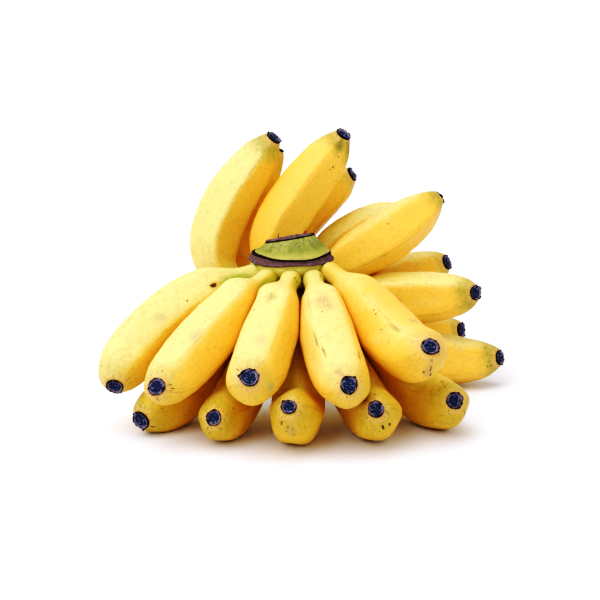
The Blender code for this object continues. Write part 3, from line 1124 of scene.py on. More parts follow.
@dataclass(frozen=True)
class FlowerEndFinish:
    """The finish of the dried flower ends.

    Attributes:
        crust: Colour of the outer crust.
        ring: Pale lavender grey of a painted highlight along the inner edge of the cup, also used for ashy
            patches on the rim.
        cup: Colour inside the cup.
        crumb: Colour of the crumbs in it.
        bark: Colour where the crust meets the peel.
        bump: Depth of the relief, in metres.
    """

    crust: Triple = linear(44, 36, 44)
    ring: Triple = linear(146, 132, 146)
    cup: Triple = linear(50, 60, 88)
    crumb: Triple = linear(146, 150, 174)
    bark: Triple = linear(92, 70, 62)
    bump: float = 0.0006

    def material(self) -> bpy.types.Material:
        """Make the black crust, a painted highlight on its thin inner edge, and the navy cup with pale
        crumbs.

        Returns:
            The material.
        """
        g = Graph("flower_end")
        face = g.place("face", (1.0, 1.0, 1.0), (0.0, 0.0, 0.0))
        inward = g.value_of("inward")
        grit = g.noise(face, 1.1, 4.0, 0.7)
        patches = g.noise(face, 0.35, 2.0, 0.6)
        gritty = grit - 0.5
        wander = inward + 0.14 * gritty
        colour = g.blend(g.ease(wander, 0.06, 0.2), self.bark, self.crust)
        colour = g.blend(g.ease(wander, 0.50, 0.60), colour, self.cup)
        # Painted highlight: a thin, broken pale band along the inner edge of the rim
        ring = g.ease(wander, 0.40, 0.48) * g.ease(wander, 0.66, 0.54) * g.ease(patches, 0.34, 0.56)
        colour = g.blend(ring * 0.8, colour, self.ring)
        flecks = g.ease(g.value_of("crumb") + 1.4 * gritty, 0.08, 0.40) * g.ease(wander, 0.48, 0.62)
        colour = g.blend(flecks * 0.7, colour, self.crumb)
        ashy = g.ease(wander, 0.26, 0.36) * g.ease(wander, 0.5, 0.42) * g.ease(patches, 0.50, 0.66)
        colour = g.blend(ashy * 0.6, colour, self.ring)
        g.relief(grit, self.bump)
        return g.finish(Base_Color=colour, Roughness=0.66 + 0.2 * grit, Specular_IOR_Level=0.35)


@dataclass(frozen=True)
class StalkFinish:
    """The finish of the stalk's skin.

    Attributes:
        lime: Lighter green of the crown.
        moss: Darker green of the crown.
        shade: Darkest green, in blots.
        cushion: Yellow between the necks.
        ash: Pale scuffs near the cut.
        bark: Brown towards the foot.
        bump: Depth of the relief, in metres.
    """

    lime: Triple = linear(156, 154, 80)
    moss: Triple = linear(126, 132, 62)
    shade: Triple = linear(92, 98, 50)
    cushion: Triple = linear(222, 206, 120)
    ash: Triple = linear(204, 192, 160)
    bark: Triple = linear(120, 94, 74)
    bump: float = 0.0006

    def material(self) -> bpy.types.Material:
        """Make the fibrous skin: green at the crown, yellow between the necks, browner below.

        Returns:
            The material.
        """
        g = Graph("stalk_skin")
        skin = g.place("grown", (1.0, 1.0, 1.0), (0.0, 0.0, 0.0))
        strands = g.place("grown", (1.0, 1.0, 0.16), (7.0, 3.0, 0.0))
        down = g.value_of("down")
        clouds = g.noise(skin, 0.13, 3.0, 0.6)
        blots = g.noise(skin, 0.34, 4.0, 0.65)
        lines = g.noise(strands, 0.75, 4.0, 0.6)
        fine = g.noise(skin, 0.9, 4.0, 0.6)
        clouded, blotted, lined = clouds - 0.5, blots - 0.5, lines - 0.5
        mossy = clouds + 0.5 * blotted + 0.15 * lined
        colour = g.blend(g.ease(mossy, 0.38, 0.62), self.lime, self.moss)
        colour = g.blend(g.ease(blots + 0.15 * lined, 0.52, 0.66) * 0.75, colour, self.shade)
        yellowed = g.ease(down + 4.0 * blotted + 3.0 * clouded, 4.5, 8.0)
        colour = g.blend(yellowed * 0.45, colour, self.cushion)
        scuffs = g.ease(fine + 0.5 * blotted, 0.50, 0.66) * g.ease(down + 3.0 * clouded, 6.5, 0.5)
        colour = g.blend(scuffs * 0.6, colour, self.ash)
        colour = g.blend(g.ease(fine, 0.56, 0.70) * 0.4, colour, self.bark)
        between = g.ease(down + 2.0 * clouded, 8.0, 10.5) * g.ease(down, 46.0, 26.0)
        colour = g.blend(between * 0.9, colour, self.cushion)
        colour = g.blend(between * g.ease(blots, 0.54, 0.72) * 0.5, colour, self.moss)
        below = g.ease(down + 14.0 * clouded, 34.0, 60.0)
        colour = g.blend(below * (0.35 + 0.45 * g.ease(lines, 0.45, 0.7)), colour, self.bark)
        g.relief(0.6 * lines + 0.4 * fine, self.bump)
        return g.finish(Base_Color=colour, Roughness=0.55 + 0.2 * fine, Specular_IOR_Level=0.35)


@dataclass(frozen=True)
class ScarFinish:
    """The finish of dried tissue: the scar band, both cut ends and what stands on one.

    Attributes:
        name: The material's name.
        plum: Its main colour.
        dark: Colour of its edges and creases.
        pale: Colour of the raised grain.
        rust: Colour of its patches.
        bump: Depth of the relief, in metres.
    """

    name: str = "scar_tissue"
    plum: Triple = linear(112, 92, 96)
    dark: Triple = linear(44, 36, 42)
    pale: Triple = linear(160, 142, 148)
    rust: Triple = linear(120, 90, 82)
    bump: float = 0.0009

    def material(self) -> bpy.types.Material:
        """Make dry tissue with a nearly black edge and paler grain lying round it.

        Returns:
            The material.
        """
        g = Graph(self.name)
        skin = g.place("grown", (1.0, 1.0, 1.0), (3.0, 11.0, 5.0))
        layers = g.place("grown", (0.35, 0.35, 1.5), (1.0, 5.0, 9.0))
        edge = g.value_of("edge")
        grain = g.noise(layers, 0.9, 4.0, 0.7)
        clouds = g.noise(skin, 0.3, 3.0, 0.6)
        fine = g.noise(skin, 1.2, 3.0, 0.7)
        colour = g.blend(g.ease(clouds, 0.45, 0.7) * 0.7, self.plum, self.rust)
        grained = grain + 0.3 * (fine - 0.5)
        colour = g.blend(g.ease(grained, 0.52, 0.72) * 0.7, colour, self.pale)
        colour = g.blend(g.ease(grained, 0.46, 0.30) * 0.8, colour, self.dark)
        colour = g.blend(g.ease(edge + 0.5 * (fine - 0.5), 0.35, 0.75), colour, self.dark)
        g.relief(0.6 * grain + 0.4 * fine, self.bump)
        return g.finish(Base_Color=colour, Roughness=0.75 + 0.15 * fine, Specular_IOR_Level=0.25)


@dataclass(frozen=True)
class Section:
    """One section of the stalk.

    Attributes:
        centre: Its middle.
        half_width: Half its width across.
        half_depth: Half its depth.
        tilt: Degrees that it leans backwards.
        slant: Degrees that its right edge is raised.
    """

    centre: Triple
    half_width: float
    half_depth: float
    tilt: float = 0.0
    slant: float = 0.0


@dataclass(frozen=True)
class Shred:
    """A dry remnant that stands on the upper cut.

    Attributes:
        name: Its piece's name.
        foot: Its lower end, under the cut's face.
        bend: What it bends towards.
        point: Its upper end.
        radius: Its radius at the foot.
    """

    name: str
    foot: Triple
    bend: Triple
    point: Triple
    radius: float


@dataclass
class Stalk:
    """The stalk with its crowns, its scar band, its two dried cuts and what stands on one.

    Attributes:
        sections: Its sections, from the upper cut to the foot.
        rows: Rings of points along the skin.
        sides: Points round the skin and the cuts.
        band_sides: Points round the scar band.
        shreds: What stands on the upper cut.
        finish: The skin's finish.
        scar: The finish of the band and the cuts.
        shred_finish: The finish of what stands on the cut.
    """

    sections: tuple[Section, ...] = (
        Section((-1.0, 0.6, 98.2), 14.2, 9.8, -5.0, 9.5),
        Section((-0.9, 0.6, 97.5), 14.8, 11.6, -5.0, 9.0),
        Section((-0.4, 0.2, 93.8), 18.2, 16.4, -2.0, 5.0),
        Section((0.1, 0.0, 90.8), 21.8, 21.2, 0.0, 1.0),
        Section((0.0, -0.2, 88.6), 22.4, 22.0),
        Section((0.0, -0.2, 86.2), 23.2, 23.0),
        Section((0.0, -0.2, 83.0), 23.2, 23.2),
        Section((0.0, 0.6, 77.0), 21.0, 20.4),
        Section((0.0, 4.0, 70.0), 18.0, 15.8, 4.0),
        Section((0.0, 9.0, 61.5), 15.6, 14.4, 16.0),
        Section((0.3, 18.0, 53.0), 13.8, 13.4, 38.0),
        Section((0.8, 30.0, 47.0), 14.0, 13.4, 58.0),
        Section((1.2, 42.0, 44.0), 15.8, 15.4, 70.0),
        Section((0.6, 54.0, 41.5), 16.4, 16.0, 72.0),
        Section((-1.0, 66.0, 37.0), 14.8, 14.4, 62.0),
        Section((-4.0, 77.0, 28.0), 12.4, 12.2, 45.0),
        Section((-7.0, 85.0, 16.0), 11.8, 11.8, 24.0),
        Section((-9.0, 88.5, 5.0), 12.2, 12.2, 8.0),
        Section((-9.4, 89.0, 0.4), 12.2, 12.2, 0.0),
    )
    rows: int = 260
    sides: int = 144
    band_sides: int = 180
    shreds: tuple[Shred, ...] = (
        Shred("cut_thread", (-7.4, 8.6, 95.8), (-7.9, 8.8, 98.2), (-7.3, 8.6, 100.4), 0.35),
        Shred("cut_lump", (7.6, 7.6, 98.8), (7.9, 7.7, 100.4), (8.4, 7.6, 101.6), 1.1),
    )
    finish: StalkFinish = StalkFinish()
    scar: ScarFinish = ScarFinish()
    shred_finish: ScarFinish = ScarFinish(
        "dry_shreds", linear(150, 84, 72), linear(70, 36, 36), linear(200, 120, 96), linear(168, 70, 56)
    )

    # Points at which the run down the middle is added up
    RUN_POINTS = 600
    # The skin's fibres and swellings, and how far down these are at their full height
    FIBRES = Ripples((17, 23, 31, 44), 30.0, 0.16, 11)
    SWELLINGS = Ripples((2, 3, 5, 8), 24.0, 0.45, 12)
    SWOLLEN_AT = 8.0
    # Radii that the patterns on the skin and on the band are laid round, and the band's run
    SKIN_ROUND = 18
    BAND_ROUND = 24
    BAND_RUN = 12
    # Share round the band's profile, radius, height, and how near it is to the dark edge
    BAND_PROFILE = (
        (0.00, 20.6, 91.0, 1.0), (0.12, 22.2, 91.2, 1.0), (0.20, 22.8, 90.7, 1.0),
        (0.30, 22.9, 90.1, 0.2), (0.45, 23.2, 89.1, 0.0), (0.60, 23.8, 88.1, 0.0),
        (0.74, 24.6, 87.1, 0.0), (0.80, 24.6, 86.7, 0.5), (0.90, 23.4, 86.4, 0.9),
        (1.00, 21.0, 86.8, 0.6),
    )
    BAND_ROWS = 46
    BAND_MIDDLE = 88.6
    BAND_BACK = -0.2
    # How its edges wander, its flakes, and how its height varies round it
    WANDER = Ripples((2, 3, 5, 7), 40.0, 0.55, 21)
    FLAKES = Ripples((9, 14, 21, 33, 47), 8.0, 0.22, 22, 12.0)
    UNEVEN = Ripples((1, 2, 3), 40.0, 0.22, 23, 0.0)
    WANDER_OUT = 0.25
    WANDER_UP = 0.7
    FLAKES_UP = 0.3
    # How far it sags at the front, and the shares round its profile where that has come and gone
    SAG = 1.7
    SAG_SHARES = (0.8, 0.3)
    # Share inwards on a cut, radius as a share of the section's, height, and nearness to the dark edge
    CUT_PROFILE = (
        (0.00, 0.97, -1.6, 1.0), (0.10, 1.03, -1.2, 1.0), (0.18, 1.03, -0.1, 1.0),
        (0.25, 0.98, 0.6, 0.8), (0.34, 0.90, 0.8, 0.2), (0.50, 0.72, 0.6, 0.0),
        (0.70, 0.45, 0.55, 0.0), (0.88, 0.18, 0.7, 0.2), (1.00, 0.01, 0.75, 0.3),
    )
    CUT_ROWS = 60
    # Lumps of the face, and the ripples of the lip with its share inwards and its reach
    CUT_LUMPS = Ripples((2, 4, 7, 11), 6.0, 1.0, 31, 14.0)
    FACE_LUMPS = 0.4
    RAGGED = 0.015
    LIP = Ripples((3, 5, 8, 13), 20.0, 0.5, 32)
    LIP_AT = 0.2
    LIP_REACH = 0.1
    # Where the face begins, and over how much its lumps come in and fade out
    FACE_FROM = 0.3
    FACE_COME = 0.2
    FACE_GO = 0.1
    # How high the foot's cut stands beside the upper one
    FOOT_HEIGHT = 0.15
    # Share of a shred's height, and radius there as a share of its foot's
    SHRED_PROFILE = ((0.0, 1.0), (0.4, 0.95), (0.75, 0.6), (1.0, 0.12))
    SHRED_ROWS = 20
    SHRED_SIDES = 16
    SHRED_UNEVEN = Ripples((2, 3), 4.0, 0.15, 41, 6.0)

    def walk(self, at: np.ndarray) -> tuple[np.ndarray, ...]:
        """Centre, half width, half depth, tilt and slant anywhere along the stalk.

        Args:
            at: Places, counted in sections from the top.

        Returns:
            The five values, each read on a smooth curve through the sections' own.
        """
        number = np.arange(len(self.sections), dtype=float)
        rows = [(*s.centre, s.half_width, s.half_depth, s.tilt, s.slant) for s in self.sections]
        read = read_columns(np.column_stack([number, rows]), at)
        return np.stack(read[:3], -1), *read[3:]

    def ring(self, at: np.ndarray, angle: np.ndarray, proud: np.ndarray) -> np.ndarray:
        """Points round the stalk: its section's ellipse, made larger by proud.

        Args:
            at: Places in sections, one for each row.
            angle: Angles round it, rows by sides.
            proud: Millimetres added to the radius, rows by sides.

        Returns:
            The points, rows by sides by 3.
        """
        centre, wide, deep, tilt, slant = self.walk(at)
        tilt, slant = np.radians(tilt), np.radians(slant)
        none = np.zeros_like(tilt)
        across = np.stack([np.cos(slant), none, np.sin(slant)], -1)[:, None]
        back = np.stack([none, np.cos(tilt), np.sin(tilt)], -1)[:, None]
        wide = (wide[:, None] + proud) * np.cos(angle)
        deep = (deep[:, None] + proud) * np.sin(angle)
        return centre[:, None] + wide[..., None] * across + deep[..., None] * back

    def run_down(self, at: np.ndarray) -> np.ndarray:
        """Distance from the top, along the middle of the stalk.

        Args:
            at: Places, counted in sections from the top.

        Returns:
            The distance to each, in millimetres.
        """
        fine = np.linspace(0, len(self.sections) - 1, self.RUN_POINTS)
        centre = self.walk(fine)[0]
        run = np.concatenate([[0.0], np.cumsum(np.linalg.norm(np.diff(centre, axis=0), axis=1))])
        return np.interp(at, fine, run)

    def build_skin(self) -> bpy.types.Object:
        """The skin: smooth sections with fine upright fibres and low swellings.

        Returns:
            The piece.
        """
        at = np.linspace(0, len(self.sections) - 1, self.rows)
        angle = np.arange(self.sides) * math.tau / self.sides
        down = self.run_down(at)
        rows, angle = np.meshgrid(down, angle, indexing="ij")
        fibres = self.FIBRES.over(angle, rows)
        swell = self.SWELLINGS.over(angle, rows)
        points = self.ring(at, angle, fibres + swell * np.clip(rows / self.SWOLLEN_AT, 0, 1))
        points[..., 2] = np.maximum(points[..., 2], 0.0)
        grown = np.stack([self.SKIN_ROUND * np.cos(angle), self.SKIN_ROUND * np.sin(angle), rows], -1)
        facts = {"grown": grown, "down": rows}
        skin = self.finish.material()
        return FrameMaker.piece("stalk_skin", points, facts, skin, "stalk", ("stalk",), True)

    def build_band(self, material: bpy.types.Material) -> bpy.types.Object:
        """The scar band: a flaring collar with a ragged lip, closed behind by its own skin.

        Its profile runs from under the green skin's edge out over a dark lip, down the band's
        face and back in under it. Sines of the angle make both edges wander.

        Args:
            material: The dried tissue's finish.

        Returns:
            The piece.
        """
        angle = np.arange(self.band_sides) * math.tau / self.band_sides
        s = np.linspace(0, 1, self.BAND_ROWS)
        radius, height, edge = read_columns(self.BAND_PROFILE, s)
        s, angle = np.meshgrid(s, angle, indexing="ij")
        wander = self.WANDER.over(angle, s)
        flakes = self.FLAKES.over(angle, s)
        tall = 1 + self.UNEVEN.over(angle, s)
        wide = radius[:, None] + flakes + self.WANDER_OUT * wander
        sag = self.SAG * np.clip(-np.sin(angle), 0, 1) ** 3 * rise(s, *self.SAG_SHARES)
        lift = self.BAND_MIDDLE + (height[:, None] - self.BAND_MIDDLE) * tall
        lift = lift + wander * self.WANDER_UP + self.FLAKES_UP * flakes - sag
        points = np.stack([wide * np.cos(angle), wide * np.sin(angle) + self.BAND_BACK, lift], -1)
        around = (self.BAND_ROUND * np.cos(angle), self.BAND_ROUND * np.sin(angle))
        grown = np.stack([*around, s * self.BAND_RUN], -1)
        facts = {"grown": grown, "edge": np.broadcast_to(edge[:, None], s.shape)}
        return FrameMaker.piece("scar_band", points, facts, material, "stalk", flipped=True)

    def build_cut(self, name: str, top: bool, material: bpy.types.Material) -> bpy.types.Object:
        """A dried cut end: a lip that curls over the skin and a sunken, fibrous face.

        The profile is read from the lip inwards. Lumps of the face grow towards its middle,
        and the lip wanders by sines of the angle.

        Args:
            name: The piece's name.
            top: The cut over the crown, or else the one at the stalk's foot.
            material: The dried tissue's finish.

        Returns:
            The piece.
        """
        section = self.sections[0] if top else self.sections[-1]
        high = 1.0 if top else self.FOOT_HEIGHT
        s = np.linspace(0, 1, self.CUT_ROWS)
        share, height, edge = read_columns(self.CUT_PROFILE, s)
        angle = np.arange(self.sides) * math.tau / self.sides
        s, angle = np.meshgrid(s, angle, indexing="ij")
        lip = np.exp(-((s - self.LIP_AT) / self.LIP_REACH) ** 2)
        face = np.clip((s - self.FACE_FROM) / self.FACE_COME, 0, 1) * np.clip((1 - s) / self.FACE_GO, 0, 1)
        lumps = self.CUT_LUMPS.over(angle, s)
        uneven = lip * self.LIP.over(angle, s) + self.FACE_LUMPS * face * lumps
        out = high * (height[:, None] + uneven)
        slant = math.radians(section.slant)
        tilt = math.radians(section.tilt)
        across = np.array((math.cos(slant), 0.0, math.sin(slant)))
        back = np.array((0.0, math.cos(tilt), math.sin(tilt)))
        ragged = share[:, None] * (1 + self.RAGGED * lumps * lip)
        wide = section.half_width * ragged * np.cos(angle)
        deep = section.half_depth * ragged * np.sin(angle)
        axis = np.cross(across, back) * (1.0 if top else -1.0)
        points = np.array(section.centre) + wide[..., None] * across + deep[..., None] * back
        points = points + out[..., None] * axis
        points[..., 2] = np.maximum(points[..., 2], 0.0)
        grown = np.stack([wide, deep, 2.0 * np.broadcast_to(share[:, None], s.shape)], -1)
        facts = {"grown": grown, "edge": np.broadcast_to(edge[:, None], s.shape)}
        return FrameMaker.piece(name, points, facts, material, "stalk", flipped=not top)

    def build_shred(self, shred: Shred, material: bpy.types.Material) -> bpy.types.Object:
        """A dry remnant: level rings carried up a quadratic curve, and smaller towards its point.

        Args:
            shred: Its places and its size.
            material: The dried tissue's finish.

        Returns:
            The piece.
        """
        s = np.linspace(0, 1, self.SHRED_ROWS)[:, None]
        foot, bend, point = (np.array(place, float) for place in (shred.foot, shred.bend, shred.point))
        line = (1 - s) ** 2 * foot + 2 * s * (1 - s) * bend + s * s * point
        angle = np.arange(self.SHRED_SIDES) * math.tau / self.SHRED_SIDES
        s, angle = np.meshgrid(s[:, 0], angle, indexing="ij")
        radius = shred.radius * table_value(self.SHRED_PROFILE, s)
        radius = radius * (1 + self.SHRED_UNEVEN.over(angle, s))
        ring = np.stack([np.cos(angle), np.sin(angle), np.zeros_like(angle)], -1)
        points = line[:, None] + radius[..., None] * ring
        return FrameMaker.piece(shred.name, points, {"grown": points, "edge": 0 * s}, material, "stalk")

    def build(self) -> None:
        """Build the skin, the band, both cuts and what stands on the upper one."""
        self.build_skin()
        tissue = self.scar.material()
        self.build_band(tissue)
        self.build_cut("cut_top", True, tissue)
        self.build_cut("cut_foot", False, tissue)
        reddish = self.shred_finish.material()
        for shred in self.shreds:
            self.build_shred(shred, reddish)


@dataclass
class Bunch:
    """All twenty fruits on their stalk.

    Attributes:
        fruits: The fruits.
        finishes: The peel's finish in each row.
        stalk: The stalk.
        flower_end: The finish of every flower end.
    """

    fruits: tuple[Fruit, ...]
    finishes: dict[Row, PeelFinish]
    stalk: Stalk = field(default_factory=Stalk)
    flower_end: FlowerEndFinish = FlowerEndFinish()

    def build(self) -> None:
        """Build each fruit with its flower end, then the stalk."""
        dry = self.flower_end.material()
        for fruit in self.fruits:
            others = [other for other in self.fruits if other is not fruit and fruit.touches(other)]
            points, facts = fruit.surface(others)
            peel = self.finishes[fruit.row].material(fruit)
            FrameMaker.piece(f"{fruit.name}_peel", points, facts, peel, "peel", (fruit.name,))
            points, facts = fruit.flower_end()
            FrameMaker.piece(f"{fruit.name}_flower_end", points, facts, dry, "peel")
        self.stalk.build()


@dataclass(frozen=True)
class Lamp:
    """One large soft light, far away.

    Attributes:
        name: Its name.
        strength: Its irradiance.
        softness: The angle that it fills, in degrees.
        from_way: The direction that it shines from.
    """

    name: str
    strength: float
    softness: float
    from_way: Triple


@dataclass
class Studio:
    """The pale floor, the soft light and the camera.

    Attributes:
        target: What the camera looks at, in the frame that the fruits were set out in.
        elevation: How far the camera looks down, in degrees.
        distance: From the camera to the target.
        lens: The camera's focal length.
        sensor: The width of its sensor.
        sight: The nearest and the furthest that it sees, in metres.
        floor_half: Half the floor's width, in metres.
        floor_colour: The floor's colour.
        sky_strength: How bright the surround is.
        horizon_strength: How bright its low band is.
        band: Height looked to where that band has given way, and where it is whole.
        lamps: The lights.
        tones: Pairs of a tone's value and the value that it is shown with.
    """

    target: Triple = (5.0, 0.0, 62.0)
    elevation: float = 13.0
    distance: float = 870.0
    lens: float = 90.0
    sensor: float = 36.0
    sight: tuple[float, float] = (0.01, 200.0)
    floor_half: float = 25.0
    floor_colour: Triple = (0.86, 0.88, 0.97)
    sky_strength: float = 0.77
    horizon_strength: float = 1.03
    band: tuple[float, float] = (0.16, 0.10)
    lamps: tuple[Lamp, ...] = (
        Lamp("soft_overhead", 1.5, 60.0, (-0.30, -0.10, 1.0)),
        Lamp("soft_front_left", 0.72, 50.0, (-0.8, -0.8, 0.9)),
    )
    tones: Table = (
        (0.0, 0.0), (0.05, 0.006), (0.11, 0.030), (0.2, 0.125),
        (0.3, 0.27), (0.5, 0.51), (0.8, 0.83), (1.0, 1.0),
    )

    def build_camera(self) -> bpy.types.Object:
        """The camera, looking along +Y and down at the bunch.

        Returns:
            The camera.
        """
        tilt = math.radians(self.elevation)
        back = np.array((0.0, -math.cos(tilt), math.sin(tilt)))
        place = FrameMaker.to_frame(np.array(self.target) + back * self.distance)
        data = bpy.data.cameras.new("view_from_front")
        data.lens = self.lens
        data.sensor_width = self.sensor
        data.clip_start, data.clip_end = self.sight
        camera = bpy.data.objects.new("view_from_front", data)
        camera.location = place.tolist()
        camera.rotation_euler = (math.pi / 2 - tilt, 0.0, 0.0)
        bpy.context.scene.collection.objects.link(camera)
        bpy.context.scene.camera = camera
        return camera

    def build_floor(self) -> bpy.types.Object:
        """A wide, matt, pale floor just under the bunch.

        Returns:
            The floor.
        """
        half = self.floor_half
        corners = [(-half, -half, 0.0), (half, -half, 0.0), (half, half, 0.0), (-half, half, 0.0)]
        mesh = bpy.data.meshes.new("floor")
        mesh.from_pydata(corners, [], [(0, 1, 2, 3)])
        matt = Graph("floor").finish(Base_Color=self.floor_colour, Roughness=0.9, Specular_IOR_Level=0.1)
        mesh.materials.append(matt)
        floor = bpy.data.objects.new("floor", mesh)
        bpy.context.scene.collection.objects.link(floor)
        return floor

    def build_light(self) -> None:
        """A white surround, a large light overhead and a weaker one from the front left.

        A low band of the surround, which can show over the floor's far edge, is as white as
        the floor. A smooth step of the height looked to leads from it to the rest.
        """
        g = SkyGraph("white_surround")
        low = g.ease(g.height_looked_to(), *self.band)
        strength = self.sky_strength + (self.horizon_strength - self.sky_strength) * low
        g.feed(g.shader.inputs["Strength"], strength)
        bpy.context.scene.world = g.world
        for lamp in self.lamps:
            data = bpy.data.lights.new(lamp.name, "SUN")
            data.energy = lamp.strength
            data.angle = math.radians(lamp.softness)
            sun = bpy.data.objects.new(lamp.name, data)
            way = np.array(lamp.from_way) / np.linalg.norm(lamp.from_way)
            sun.rotation_euler = (math.acos(way[2]), 0.0, math.atan2(way[1], way[0]) + math.pi / 2)
            bpy.context.scene.collection.objects.link(sun)

    def build(self) -> None:
        """Set up the camera, the floor, the light and how colours are shown."""
        self.build_camera()
        self.build_floor()
        self.build_light()
        shown = bpy.context.scene.view_settings
        shown.view_transform = "Standard"
        shown.look = "None"
        shown.use_curve_mapping = True
        curve = shown.curve_mapping.curves[3]
        for place, value in self.tones[1:-1]:
            curve.points.new(place, value)
        shown.curve_mapping.update()


